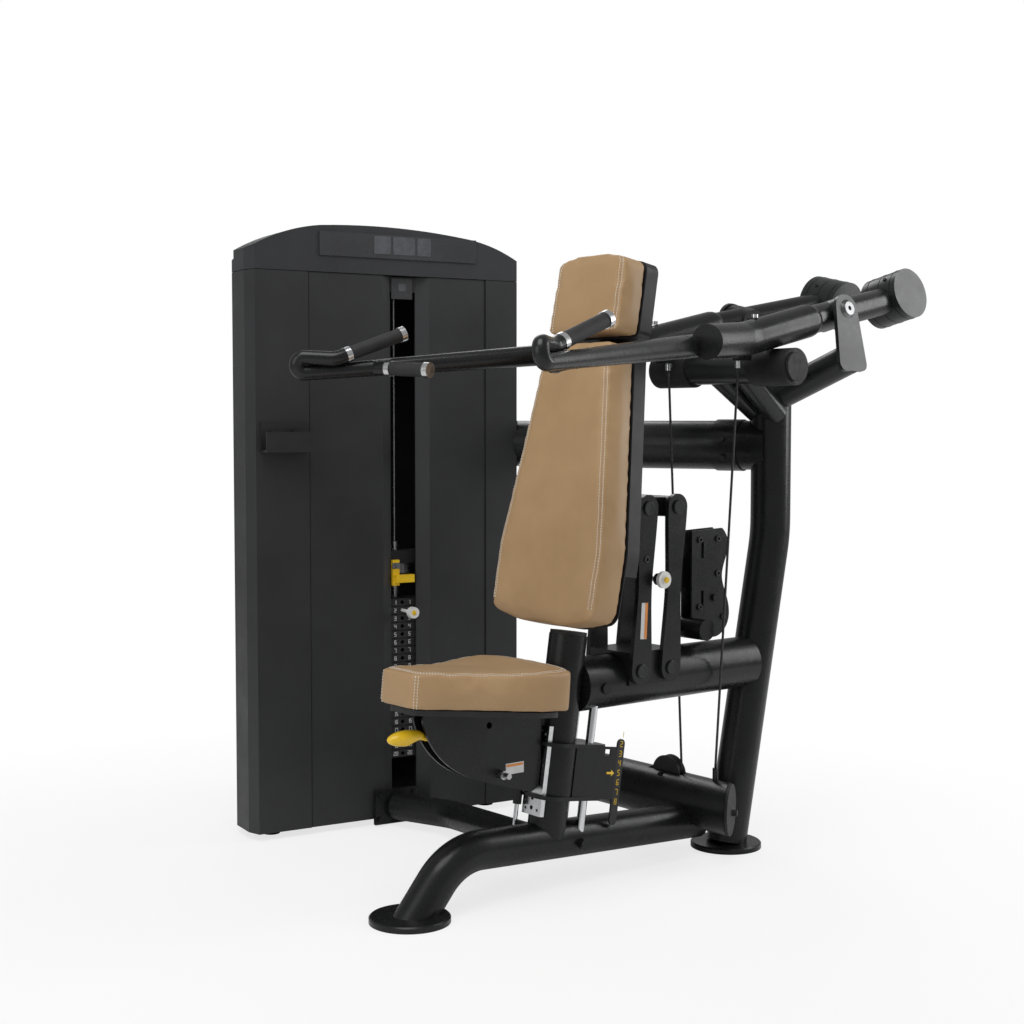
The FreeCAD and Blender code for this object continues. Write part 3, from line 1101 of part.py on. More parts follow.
def make_arm(name, side):
    """One welded press arm: rear tube, hub, elbow tube with its cap, handle bar and inward grip stub."""
    spot = arm_points(side)
    out = pivot_axis(side)
    hub_start = spot["hub"] - out * (size("hub_len") / 2)
    hub_end = spot["hub"] + out * (size("hub_len") / 2)
    hub = cylinder(f"{name}_hub", "hub_r", hub_start, hub_end)
    rear = cylinder(f"{name}_rear", "arm_r", spot["rear"] + (spot["hub"] - spot["rear"]).normalize() * 26, spot["elbow"][0])
    elbow = bent_tube(f"{name}_elbow", spot["elbow"], size("elbow_r"), [170.0])
    knuckle = solid(f"{name}_knuckle", Part.makeSphere(size("elbow_r") - 0.5, spot["elbow"][0]))
    bend, corner, tip = spot["bar"]
    run = (tip - corner).normalize()
    taper_start = corner + run * 88
    shank = bent_tube(f"{name}_shank", [bend, corner, taper_start], size("bar_r"), [120.0])
    taper = (tip - taper_start).Length - 14
    cone = solid(f"{name}_taper", Part.makeCone(size("bar_r") - 0.3, size("bar_tip_r") + 0.3, taper,
                                                taper_start - run * 6, run))
    grip_start = Vector(side * 384, 92, 1230)
    grip_run = Vector(side * -25, 152, 55).normalize()
    turn_top = tip + Vector(side * -7, 4, 39)
    loop_points = [tip - run * 40, tip, turn_top, grip_start - grip_run * 24, grip_start]
    loop = bent_tube(f"{name}_loop", loop_points, size("bar_tip_r"), [18.2, 18.2, 40.0])
    stub_base = corner + run * ((corner.y - 165) / -run.y)
    stub_run = Vector(side * -0.947, 0.32, -0.05).normalize()
    stub = cylinder(f"{name}_stub", "grip_r", stub_base, stub_base + stub_run * 43)
    bore = cylinder(f"{name}_bore", "Sizes.axle_r + Sizes.running_gap", hub_start - out * 16, hub_end + out)
    lug = block(f"{name}_lug", Vector(min(side * 112, side * 150), size("cable_y") - 12, 1222), 38.0, 24.0, 30.0)
    raw = fuse(f"{name}_weldment", hub, rear, elbow, knuckle, shank, cone, loop, stub, lug)
    keep(f"{name}_arm", cut(f"{name}_arm", raw, bore))
    grips = []
    collars = []
    ends = ((grip_start + grip_run * 0.3, grip_run), (stub_base + stub_run * 43.3, stub_run))
    for index, (start, along) in enumerate(ends):
        collars.append(cylinder(f"{name}_collar_{index}", "collar_r", start, axis=along, height="collar_len"))
        grip_at = start + along * (size("collar_len") + 0.2)
        length = "grip_len" if index == 0 else "Sizes.grip_len * 0.7"
        value = size("grip_len") * (1.0 if index == 0 else 0.7)
        grips.append(cylinder(f"{name}_grip_{index}", "grip_r", grip_at, axis=along, height=length))
        cap_at = grip_at + along * (value + 0.2)
        collars.append(cylinder(f"{name}_cap_{index}", "collar_r", cap_at, axis=along, height="collar_len"))
    keep(f"{name}_grips", group(f"{name}_grips", *grips))
    clevis_at = cable_top(side)
    collars.append(cylinder(f"{name}_clevis", "Sizes.cable_r * 2.6", clevis_at + Z_AXIS * 0.4, clevis_at + Z_AXIS * 17.6))
    nut_at = Vector(side * 170, size("cable_y"), 1322.4)
    collars.append(cylinder(f"{name}_nut", "Sizes.cable_r * 2.6", nut_at, nut_at + Z_AXIS * 8))
    keep(f"{name}_fittings", group(f"{name}_fittings", *collars))
    centre = spot["rear"]
    weight = cylinder(f"{name}_weight", "weight_r", centre - out * (size("weight_len") / 2), axis=out, height="weight_len")
    keep(f"{name}_counterweight", cut(f"{name}_counterweight", weight, rear))


def cable_top(side):
    """Where each arm's cable meets its clevis under the arm."""
    return Vector(side * size("cable_x"), size("cable_y"), size("cable_top_z") - 10)


def make_cables():
    """The two cable runs from the arms down to the lower cross beam, and the run above the stack."""
    pulley = base_pulley_centre()
    reach = 42.0 + size("cable_r") + 0.3
    keep("left_cable", cylinder("left_cable", "cable_r", cable_anchor_point(), cable_top(1)))
    low = Vector(pulley.x + reach, pulley.y, pulley.z + 6)
    keep("right_cable", cylinder("right_cable", "cable_r", low, cable_top(-1)))
    stem_top = size("stack_floor_z") + (size("rest_plates") + size("lift_plates")) * size("plate_pitch") + 150.4
    stack = cylinder("stack_cable", "cable_r", stack_point(0, 0, stem_top),
                     stack_point(0, 0, size("header_z") - 34))
    keep("stack_cable", stack)


def make_base_pulley():
    """The large pulley sunk in the slot of the lower cross beam."""
    bore = size("link_pin_r") + size("running_gap")
    keep("base_pulley", sheave("base_pulley", base_pulley_centre(), Y_AXIS, 49.0, bore))


# --- Build -----------------------------------------------------------------------------------------

def build():
    make_feet()
    cross = keep("lower_cross_beam", make_cross_beam())
    cross_solid = cylinder("cross_envelope", "beam_r", Vector(size("cross_near_x"), size("cross_y"), size("cross_z")),
                           Vector(-700, size("cross_y"), size("cross_z")))
    spine = make_spine(cross_solid)
    upright = keep("rear_upright", cut("rear_upright", make_upright(), cross_solid))
    post = make_post(spine)
    mid = make_mid_beam(upright, post)
    upper = make_upper_beam(upright)
    brace = make_brace(spine, post)
    make_flanges(brace)
    make_front_shroud()
    make_rear_shroud()
    make_header()
    make_placard()
    make_tray()
    make_stack(make_tower_frame())
    make_slide(spine, post, mid)
    carriage = make_carriage()
    board = make_seat()
    make_seat_bracket(carriage, board)
    make_seat_controls()
    make_back_rest()
    make_linkage(mid)
    make_pop_pin()
    make_guard(mid)
    make_head(upright, upper, make_caps())
    make_side_plates()
    make_arm("left", 1)
    make_arm("right", -1)
    make_cables()
    make_base_pulley()


def check_and_write():
    """Checks every object and every finished shape, then writes one STEP file per node."""
    doc.recompute()
    failed = [obj.Name for obj in doc.Objects if "Invalid" in obj.State or "Error" in obj.State]
    if failed:
        raise RuntimeError(f"these objects failed to build: {failed}")
    unsound = [obj.Label for obj in NODES
               if obj.Shape.isNull() or not obj.Shape.isValid() or not obj.Shape.Solids]
    if unsound:
        raise RuntimeError(f"these nodes have no sound shape: {unsound}")
    os.makedirs("parts", exist_ok=True)
    for obj in NODES:
        obj.Shape.exportStep(f"parts/{obj.Label}.step")
        box = obj.Shape.BoundBox
        print(f"{obj.Label:20s} solids {len(obj.Shape.Solids):3d} volume {obj.Shape.Volume / 1000:9.1f} cm3  "
              f"x {box.XMin:7.1f} {box.XMax:7.1f}  y {box.YMin:7.1f} {box.YMax:7.1f}  z {box.ZMin:7.1f} {box.ZMax:7.1f}")
    print(len(NODES), "nodes")


build()
check_and_write()
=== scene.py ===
"""Looks of the shoulder press machine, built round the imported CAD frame. Metres, +Z up."""
import math

import bmesh
import bpy
from mathutils import Matrix, Quaternion, Vector


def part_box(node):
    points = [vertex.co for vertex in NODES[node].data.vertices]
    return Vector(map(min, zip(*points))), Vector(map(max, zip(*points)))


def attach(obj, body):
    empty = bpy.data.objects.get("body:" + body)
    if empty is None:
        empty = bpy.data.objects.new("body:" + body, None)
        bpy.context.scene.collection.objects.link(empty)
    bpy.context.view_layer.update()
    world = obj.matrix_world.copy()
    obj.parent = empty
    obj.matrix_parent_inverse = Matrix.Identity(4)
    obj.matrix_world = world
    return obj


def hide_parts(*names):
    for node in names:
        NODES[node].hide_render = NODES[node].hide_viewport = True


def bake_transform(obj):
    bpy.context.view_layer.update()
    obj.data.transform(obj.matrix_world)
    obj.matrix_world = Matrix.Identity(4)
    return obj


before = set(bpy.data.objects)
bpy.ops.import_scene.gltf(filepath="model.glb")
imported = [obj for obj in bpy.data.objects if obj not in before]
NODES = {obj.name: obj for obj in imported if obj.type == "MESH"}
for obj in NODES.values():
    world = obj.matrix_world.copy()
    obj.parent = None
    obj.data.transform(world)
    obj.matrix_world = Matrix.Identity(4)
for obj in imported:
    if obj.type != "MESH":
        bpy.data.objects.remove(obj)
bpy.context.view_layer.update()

# ---- Directions and angles, as the CAD frame has them ---------------------------------------------
FACE_TURN = math.radians(9.0)           # the tower's face is turned this far about +Z
POST_LEAN = math.radians(8.5)           # the seat post leans back
SEAT_LEAN = math.radians(5.0)           # the seat rises towards its nose
BACK_LEAN = math.radians(10.4)          # the back rest leans back
PIVOT_TILT = math.radians(13.0)         # the arms' pivot axes tilt out and up
ALONG = Vector((math.sin(FACE_TURN), math.cos(FACE_TURN), 0))
OUT = Vector((math.cos(FACE_TURN), -math.sin(FACE_TURN), 0))
POST_UP = Vector((0, math.sin(POST_LEAN), math.cos(POST_LEAN)))
POST_BACK = Vector((0, math.cos(POST_LEAN), -math.sin(POST_LEAN)))
SEAT_UP = Vector((0, math.sin(SEAT_LEAN), math.cos(SEAT_LEAN)))
SEAT_BACK = Vector((0, math.cos(SEAT_LEAN), -math.sin(SEAT_LEAN)))
BACK_UP = Vector((0, math.sin(BACK_LEAN), math.cos(BACK_LEAN)))
BACK_OUT = Vector((0, -math.cos(BACK_LEAN), math.sin(BACK_LEAN)))
X_AXIS = Vector((1, 0, 0))
Y_AXIS = Vector((0, 1, 0))
Z_AXIS = Vector((0, 0, 1))
PLATE_FACE = 0.032                      # the stack plates stand this far behind the tower's face
PLATE_COUNT = 20
PLATES_RESTING = 18                     # the plates under the selector pin
SCALE_FACE_X = 0.0472                   # the face of the seat's scale bar
INDEX_FACE_X = 0.0526                   # the face of the plate that points at the scale
GUARD_FACE_X = 0.0190                   # the near face of the wheel guard
COUNTERWEIGHT_RADIUS = 0.0655
CABLE_RADIUS = 0.0031


# ---- Materials ------------------------------------------------------------------------------------
def new_material(name):
    """A node material with its shader, and the row-frame coordinates of each point."""
    material = bpy.data.materials.new(name)
    material.use_nodes = True
    tree = material.node_tree
    shader = tree.nodes["Principled BSDF"]
    coordinates = tree.nodes.new("ShaderNodeTexCoord").outputs["Object"]
    return material, tree, shader, coordinates


def noise(tree, coordinates, scale, detail=4.0, roughness=0.55, stretch=None):
    """A noise value over the surface. stretch scales the coordinates per axis first."""
    node = tree.nodes.new("ShaderNodeTexNoise")
    node.inputs["Scale"].default_value = scale
    node.inputs["Detail"].default_value = detail
    node.inputs["Roughness"].default_value = roughness
    if stretch:
        mapping = tree.nodes.new("ShaderNodeMapping")
        mapping.inputs["Scale"].default_value = stretch
        tree.links.new(coordinates, mapping.inputs["Vector"])
        coordinates = mapping.outputs["Vector"]
    tree.links.new(coordinates, node.inputs["Vector"])
    return node.outputs["Fac"]


def cells(tree, coordinates, scale, feature="F1"):
    """Distance to the nearest of scattered points, for grain and flakes."""
    node = tree.nodes.new("ShaderNodeTexVoronoi")
    node.feature = feature
    node.inputs["Scale"].default_value = scale
    tree.links.new(coordinates, node.inputs["Vector"])
    return node.outputs["Distance"]


def spread(tree, value, low, high, start=0.35, end=0.65):
    """The value mapped from start..end to low..high."""
    node = tree.nodes.new("ShaderNodeMapRange")
    node.inputs["From Min"].default_value = start
    node.inputs["From Max"].default_value = end
    node.inputs["To Min"].default_value = low
    node.inputs["To Max"].default_value = high
    tree.links.new(value, node.inputs["Value"])
    return node.outputs["Result"]


def tones(tree, value, dark, light, start=0.3, end=0.7):
    """A colour between dark and light by the value."""
    ramp = tree.nodes.new("ShaderNodeValToRGB")
    ramp.color_ramp.elements[0].position = start
    ramp.color_ramp.elements[1].position = end
    ramp.color_ramp.elements[0].color = (*dark, 1)
    ramp.color_ramp.elements[1].color = (*light, 1)
    tree.links.new(value, ramp.inputs["Fac"])
    return ramp.outputs["Color"]


def bump(tree, shader, value, distance, strength=0.5, under=None):
    """Relief of the given depth in metres, over an earlier relief where there is one."""
    node = tree.nodes.new("ShaderNodeBump")
    node.inputs["Distance"].default_value = distance
    node.inputs["Strength"].default_value = strength
    tree.links.new(value, node.inputs["Height"])
    if under is not None:
        tree.links.new(under, node.inputs["Normal"])
    tree.links.new(node.outputs["Normal"], shader.inputs["Normal"])
    return node.outputs["Normal"]


def finish_of(name, dark, light, rough, metallic=0.0, tone_scale=9.0, grain_scale=900.0, grain_depth=0.0002,
              grain_strength=0.25, coat=0.0, coat_rough=0.2, specular=0.5, fleck=None, stretch=None, sheen=0.0):
    """A general finish: drifting tone, drifting roughness, fine relief and an optional fleck."""
    material, tree, shader, where = new_material(name)
    drift = noise(tree, where, tone_scale, 5.0, 0.6, stretch)
    colour = tones(tree, drift, dark, light)
    if fleck:
        spots = cells(tree, where, fleck[0])
        mask = spread(tree, spots, 1.0, 0.0, 0.05, 0.22)
        blend = tree.nodes.new("ShaderNodeMix")
        blend.data_type = "RGBA"
        tree.links.new(mask, blend.inputs["Factor"])
        tree.links.new(colour, blend.inputs["A"])
        blend.inputs["B"].default_value = (*fleck[1], 1)
        colour = blend.outputs["Result"]
    tree.links.new(colour, shader.inputs["Base Color"])
    wear = noise(tree, where, tone_scale * 3.1, 6.0, 0.65, stretch)
    tree.links.new(spread(tree, wear, rough[0], rough[1]), shader.inputs["Roughness"])
    bump(tree, shader, noise(tree, where, grain_scale, 2.0, 0.5, stretch), grain_depth, grain_strength)
    shader.inputs["Metallic"].default_value = metallic
    shader.inputs["Specular IOR Level"].default_value = specular
    shader.inputs["Coat Weight"].default_value = coat
    shader.inputs["Coat Roughness"].default_value = coat_rough
    shader.inputs["Sheen Weight"].default_value = sheen
    return material


def vinyl(name, dark, light):
    """Upholstery vinyl: pebbled grain with fine creases over a slowly drifting tone."""
    material, tree, shader, where = new_material(name)
    drift = noise(tree, where, 6.0, 5.0, 0.6)
    tree.links.new(tones(tree, drift, dark, light, 0.32, 0.68), shader.inputs["Base Color"])
    pebble = cells(tree, where, 620.0)
    crease = noise(tree, where, 190.0, 4.0, 0.6)
    soft = noise(tree, where, 24.0, 3.0, 0.5)
    tree.links.new(spread(tree, soft, 0.40, 0.52), shader.inputs["Roughness"])
    low = bump(tree, shader, soft, 0.0016, 0.25)
    mid = bump(tree, shader, crease, 0.0004, 0.30, low)
    bump(tree, shader, pebble, 0.00035, 0.35, mid)
    shader.inputs["Specular IOR Level"].default_value = 0.42
    shader.inputs["Sheen Weight"].default_value = 0.06
    return material


def banded(name, base, glow, period, axis, rough=0.6):
    """Rubber with ribs round an axis: rib relief by a wave along that axis."""
    material, tree, shader, where = new_material(name)
    wave = tree.nodes.new("ShaderNodeTexWave")
    wave.wave_type = "BANDS"
    wave.bands_direction = axis
    wave.inputs["Scale"].default_value = period
    tree.links.new(where, wave.inputs["Vector"])
    drift = noise(tree, where, 40.0)
    tree.links.new(tones(tree, drift, base, glow), shader.inputs["Base Color"])
    fine = bump(tree, shader, noise(tree, where, 1200.0), 0.0002, 0.3)
    bump(tree, shader, wave.outputs["Fac"], 0.0006, 0.5, fine)
    shader.inputs["Roughness"].default_value = rough
    return material


PAINT = finish_of("frame_paint", (0.0075, 0.0078, 0.0082), (0.0125, 0.013, 0.0137), (0.24, 0.34),
                  0.15, 7.0, 700.0, 0.00035, 0.30, 0.05, 0.3, 0.30, (1500.0, (0.028, 0.029, 0.030)))
ARM_PAINT = finish_of("arm_paint", (0.0095, 0.0098, 0.0102), (0.0155, 0.016, 0.0168), (0.22, 0.31),
                      0.2, 8.0, 700.0, 0.0003, 0.28, 0.08, 0.25, 0.34,
                      (1700.0, (0.036, 0.037, 0.039)))
HEAD_PAINT = finish_of("head_paint", (0.013, 0.0135, 0.0145), (0.021, 0.022, 0.023), (0.26, 0.36),
                       0.25, 8.0, 800.0, 0.0002, 0.22, 0.12, 0.2, 0.38,
                       (1700.0, (0.038, 0.039, 0.041)))
SHROUD = finish_of("shroud_plastic", (0.016, 0.0165, 0.0175), (0.025, 0.026, 0.0275), (0.42, 0.54),
                   0.0, 3.0, 1300.0, 0.00025, 0.32, 0.0, 0.3, 0.45)
HEADER = finish_of("header_plastic", (0.020, 0.021, 0.023), (0.030, 0.031, 0.034), (0.40, 0.52),
                   0.0, 3.0, 1300.0, 0.00025, 0.30, 0.0, 0.3, 0.45)
BLACK_PLASTIC = finish_of("black_plastic", (0.008, 0.008, 0.009), (0.015, 0.015, 0.016),
                          (0.40, 0.55), 0.0, 12.0, 1100.0, 0.0002, 0.3)
SHELL = finish_of("pad_shell_plastic", (0.010, 0.010, 0.011), (0.018, 0.018, 0.0195), (0.42, 0.56),
                  0.0, 5.0, 950.0, 0.0003, 0.45)
CHROME = finish_of("chrome", (0.62, 0.63, 0.65), (0.74, 0.75, 0.77), (0.06, 0.13), 1.0, 14.0, 300.0,
                   0.00005, 0.1, stretch=(1, 1, 0.05))
AXLE_STEEL = finish_of("axle_steel", (0.13, 0.132, 0.135), (0.22, 0.222, 0.228), (0.16, 0.26), 1.0,
                       30.0, 600.0, 0.00006, 0.15)
STEEL = finish_of("zinc_steel", (0.34, 0.34, 0.35), (0.52, 0.52, 0.53), (0.22, 0.36), 1.0, 30.0,
                  600.0, 0.0001, 0.2)
ALUMINIUM = finish_of("machined_aluminium", (0.56, 0.565, 0.575), (0.72, 0.725, 0.735),
                      (0.16, 0.28), 1.0, 40.0, 900.0, 0.00008, 0.2)
IRON = finish_of("plate_iron", (0.010, 0.010, 0.011), (0.022, 0.022, 0.024), (0.42, 0.62), 0.1,
                 22.0, 420.0, 0.0005, 0.45)
RUBBER = finish_of("black_rubber", (0.007, 0.007, 0.0075), (0.014, 0.014, 0.015), (0.55, 0.72), 0.0,
                   18.0, 800.0, 0.0003, 0.35)
CABLE = banded("coated_cable", (0.010, 0.010, 0.010), (0.022, 0.022, 0.022), 55.0, "Z", 0.42)
GRIP = banded("grip_rubber", (0.009, 0.009, 0.0095), (0.017, 0.017, 0.018), 90.0, "Y", 0.62)
YELLOW = finish_of("yellow_plastic", (0.72, 0.45, 0.010), (0.86, 0.56, 0.020), (0.28, 0.40), 0.0,
                   20.0, 900.0, 0.0001, 0.2, 0.2, 0.15)
WHITE = finish_of("white_plastic", (0.68, 0.68, 0.66), (0.78, 0.78, 0.76), (0.30, 0.42), 0.0, 20.0,
                  900.0, 0.0001, 0.2)
LABEL = finish_of("blank_label", (0.55, 0.55, 0.54), (0.66, 0.66, 0.65), (0.30, 0.42), 0.0, 30.0,
                  700.0, 0.00005, 0.2)
ORANGE = finish_of("label_band", (0.62, 0.20, 0.03), (0.72, 0.26, 0.05), (0.30, 0.42), 0.0, 30.0,
                   700.0, 0.00005, 0.2)
PLACARD = finish_of("placard_face", (0.026, 0.027, 0.029), (0.040, 0.041, 0.044), (0.22, 0.32), 0.0,
                    6.0, 500.0, 0.00005, 0.15, 0.4, 0.1)
SCREEN = finish_of("placard_tile", (0.060, 0.066, 0.072), (0.095, 0.102, 0.112), (0.22, 0.32), 0.0,
                   40.0, 500.0, 0.00005, 0.15, 0.3, 0.1)
TAN = vinyl("tan_vinyl", (0.350, 0.218, 0.104), (0.419, 0.270, 0.136))
# a darker copy of the tan vinyl: painted shade, used on the back pads' seam welts
TAN_PAINTED_SHADE = vinyl("tan_vinyl_painted_shade", (0.310, 0.196, 0.112), (0.370, 0.242, 0.146))
THREAD = finish_of("white_thread", (0.66, 0.62, 0.54), (0.80, 0.77, 0.70), (0.55, 0.70), 0.0, 300.0,
                   2500.0, 0.0002, 0.5)

NODE_FINISH = {
    "frame_feet": PAINT, "lower_cross_beam": PAINT, "spine_tube": PAINT, "rear_upright": PAINT,
    "seat_post": PAINT, "mid_beam": PAINT, "upper_cross_beam": PAINT, "joint_sleeve": PAINT,
    "side_brace": PAINT, "frame_fixings": PAINT, "front_shroud": SHROUD, "rear_shroud": SHROUD,
    "tower_header": HEADER, "placard_plates": PLACARD, "accessory_tray": BLACK_PLASTIC,
    "tower_frame": PAINT, "stack_guide_rods": CHROME, "rubber_feet": RUBBER, "resting_plates": IRON,
    "lifted_plates": IRON, "selector_stem": STEEL, "addon_weight": IRON, "selector_pin": WHITE,
    "seat_guide_rods": CHROME, "scale_bar": BLACK_PLASTIC, "height_rack": ALUMINIUM,
    "gas_strut_rod": CHROME, "seat_carriage": PAINT, "gas_strut_body": PAINT,
    "seat_board": BLACK_PLASTIC, "seat_bracket": PAINT, "seat_lever": YELLOW, "latch_pin": STEEL,
    "pad_shells": SHELL, "front_links": ARM_PAINT, "rear_links": ARM_PAINT, "link_mount": PAINT,
    "pad_carrier": PAINT, "pop_pin": WHITE, "cable_guard": PAINT, "guard_pulley": BLACK_PLASTIC,
    "arm_head": HEAD_PAINT, "bumpers_and_caps": RUBBER, "side_plates": HEAD_PAINT,
    "arm_axles": AXLE_STEEL, "left_arm": ARM_PAINT, "right_arm": ARM_PAINT, "left_grips": GRIP,
    "right_grips": GRIP, "left_fittings": ALUMINIUM, "right_fittings": ALUMINIUM,
    "left_counterweight": HEAD_PAINT, "right_counterweight": HEAD_PAINT, "left_cable": CABLE,
    "right_cable": CABLE, "stack_cable": STEEL, "base_pulley": BLACK_PLASTIC, "seat_pad": TAN,
    "back_pad": TAN, "head_pad": TAN,
}
SHARP_ANGLE = math.radians(28.0)
for node_name, node in NODES.items():
    node.data.materials.clear()
    node.data.materials.append(NODE_FINISH[node_name])


# ---- Mesh helpers ---------------------------------------------------------------------------------
def add_mesh(name, build, material, body, smooth=True, bevel=0.0):
    """A mesh made by build(bmesh), riding on a CAD body."""
    mesh = bpy.data.meshes.new(name)
    shape = bmesh.new()
    build(shape)
    bmesh.ops.recalc_face_normals(shape, faces=shape.faces)
    if bevel:
        bmesh.ops.bevel(shape, geom=[e for e in shape.edges if e.is_manifold and e.calc_face_angle(0) > 0.6],
                        offset=bevel, segments=2, affect="EDGES", clamp_overlap=True)
    shape.to_mesh(mesh)
    shape.free()
    obj = bpy.data.objects.new(name, mesh)
    bpy.context.collection.objects.link(obj)
    mesh.materials.append(material)
    if smooth:
        for face in mesh.polygons:
            face.use_smooth = True
        mesh.set_sharp_from_angle(angle=SHARP_ANGLE)
    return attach(obj, body)


def basis(origin, x, y, z):
    """A matrix from three axes and an origin."""
    return Matrix.Translation(origin) @ Matrix((x, y, z)).transposed().to_4x4()


def toward(origin, axis):
    """A matrix whose z runs along axis."""
    return Matrix.Translation(origin) @ Vector(axis).to_track_quat("Z", "X").to_matrix().to_4x4()


def ring_of(shape, radius, height, segments, place):
    """One ring of vertices round local z."""
    return [shape.verts.new(place @ Vector((radius * math.cos(2 * math.pi * i / segments),
                                            radius * math.sin(2 * math.pi * i / segments), height)))
            for i in range(segments)]


def lathe(shape, profile, place, segments=40):
    """A closed solid turned from (radius, height) points; the first and last are capped."""
    rings = [ring_of(shape, radius, height, segments, place) for radius, height in profile]
    for low, high in zip(rings, rings[1:]):
        for i in range(segments):
            j = (i + 1) % segments
            shape.faces.new((low[i], low[j], high[j], high[i]))
    shape.faces.new(list(reversed(rings[0])))
    shape.faces.new(rings[-1])


def slab(shape, outline, low, high, place):
    """A prism of an outline in local x, y between two heights."""
    bottom = [shape.verts.new(place @ Vector((x, y, low))) for x, y in outline]
    top = [shape.verts.new(place @ Vector((x, y, high))) for x, y in outline]
    count = len(outline)
    for i in range(count):
        j = (i + 1) % count
        shape.faces.new((bottom[i], bottom[j], top[j], top[i]))
    shape.faces.new(list(reversed(bottom)))
    shape.faces.new(top)


def rectangle(half_x, half_y):
    return [(-half_x, -half_y), (half_x, -half_y), (half_x, half_y), (-half_x, half_y)]


def cap_screw(shape, place, radius=0.006, height=0.005):
    """A socket screw head: a bevelled disc with a hexagonal recess."""
    rings = [ring_of(shape, radius, 0.0, 24, place), ring_of(shape, radius, height * 0.75, 24, place),
             ring_of(shape, radius * 0.86, height, 24, place), ring_of(shape, radius * 0.52, height, 24, place),
             ring_of(shape, radius * 0.46, height * 0.3, 24, place)]
    for low, high in zip(rings, rings[1:]):
        for i in range(24):
            j = (i + 1) % 24
            shape.faces.new((low[i], low[j], high[j], high[i]))
    shape.faces.new(list(reversed(rings[0])))
    shape.faces.new(rings[-1])


def screws(name, places, material, body, radius=0.006, height=0.005):
    """A set of socket screws in one piece."""
    def build(shape):
        for place in places:
            cap_screw(shape, place, radius, height)
    return add_mesh(name, build, material, body)


DIGITS = {
    "1": ["bc"], "2": ["abged"], "3": ["abgcd"], "4": ["fgbc"], "5": ["afgcd"], "6": ["afgcde"], "7": ["abc"],
    "8": ["abcdefg"], "9": ["abcdfg"], "0": ["abcdef"],
}
SEGMENTS = {"a": (0.5, 1.0, True), "b": (1.0, 0.75, False), "c": (1.0, 0.25, False), "d": (0.5, 0.0, True),
            "e": (0.0, 0.25, False), "f": (0.0, 0.75, False), "g": (0.5, 0.5, True)}


def number(shape, text, place, height, raise_by=0.0003):
    """A number in plain bar digits, local x to the right and local y up, centred."""
    width = height * 0.5
    thick = height * 0.13
    advance = width * 1.55
    start = -advance * (len(text) - 1) / 2 - width / 2
    for index, digit in enumerate(text):
        for segment in DIGITS[digit][0]:
            x, y, flat = SEGMENTS[segment]
            centre = Matrix.Translation((start + advance * index + x * width, (y - 0.5) * height, 0))
            half = rectangle(width / 2 + thick / 2, thick / 2) if flat else rectangle(thick / 2, height / 4 + thick / 2)
            slab(shape, half, 0.0, raise_by, place @ centre)


# ---- Upholstery -----------------------------------------------------------------------------------
def shrink_along(obj, amount):
    """Moves each vertex inwards along its normal."""
    shape = bmesh.new()
    shape.from_mesh(obj.data)
    shape.normal_update()
    for vertex in shape.verts:
        vertex.co -= vertex.normal * amount
    shape.to_mesh(obj.data)
    shape.free()


def cushion(name, node, voxel, inset, cap, rear, out, pressure=1.6):
    """A stuffed pad: the CAD pad remeshed, blown up as cloth, its swell capped and its back held flat."""
    source = NODES[node]
    mesh = source.data.copy()
    obj = bpy.data.objects.new(name, mesh)
    bpy.context.collection.objects.link(obj)
    bpy.context.view_layer.objects.active = obj
    obj.select_set(True)
    remesh = obj.modifiers.new("remesh", "REMESH")
    remesh.mode = "VOXEL"
    remesh.voxel_size = voxel
    bpy.ops.object.modifier_apply(modifier=remesh.name)
    relax = obj.modifiers.new("relax", "SMOOTH")
    relax.iterations = 6
    relax.factor = 0.5
    bpy.ops.object.modifier_apply(modifier=relax.name)
    shrink_along(obj, inset)
    start = [v.co.copy() for v in obj.data.vertices]
    held = obj.vertex_groups.new(name="held")
    for vertex in obj.data.vertices:
        depth = (vertex.co - rear).dot(out)
        held.add([vertex.index], 1.0 if depth < 0.006 else 0.0, "REPLACE")
    cloth = obj.modifiers.new("cloth", "CLOTH")
    cloth.settings.quality = 4
    cloth.settings.use_pressure = True
    cloth.settings.uniform_pressure_force = pressure
    cloth.settings.effector_weights.gravity = 0.0
    cloth.settings.vertex_group_mass = "held"
    cloth.settings.tension_stiffness = 30.0
    cloth.settings.compression_stiffness = 30.0
    cloth.settings.bending_stiffness = 12.0
    cloth.point_cache.frame_start = 1
    cloth.point_cache.frame_end = 20
    for step in range(1, 21):
        bpy.context.scene.frame_set(step)
    bpy.ops.object.modifier_apply(modifier=cloth.name)
    bpy.context.scene.frame_set(1)
    for vertex, was in zip(obj.data.vertices, start):
        moved = vertex.co - was
        if moved.length > cap:
            vertex.co = was + moved.normalized() * cap
    obj.select_set(False)
    return obj


def finish_pad(obj, node, material, body):
    """Final subdivision, shading, and what the pad stands for."""
    bpy.context.view_layer.objects.active = obj
    smooth = obj.modifiers.new("smooth", "SMOOTH")
    smooth.iterations = 8
    smooth.factor = 0.5
    bpy.ops.object.modifier_apply(modifier=smooth.name)
    divide = obj.modifiers.new("divide", "SUBSURF")
    divide.levels = 1
    divide.render_levels = 1
    bpy.ops.object.modifier_apply(modifier=divide.name)
    obj.data.materials.clear()
    obj.data.materials.append(material)
    for face in obj.data.polygons:
        face.use_smooth = True
    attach(obj, body)
    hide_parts(node)
    return obj


def surface_point(obj, origin, direction):
    """Where a ray meets the pad, with the surface normal."""
    hit, place, normal, _ = obj.ray_cast(origin, direction)
    return (place, normal) if hit else (None, None)


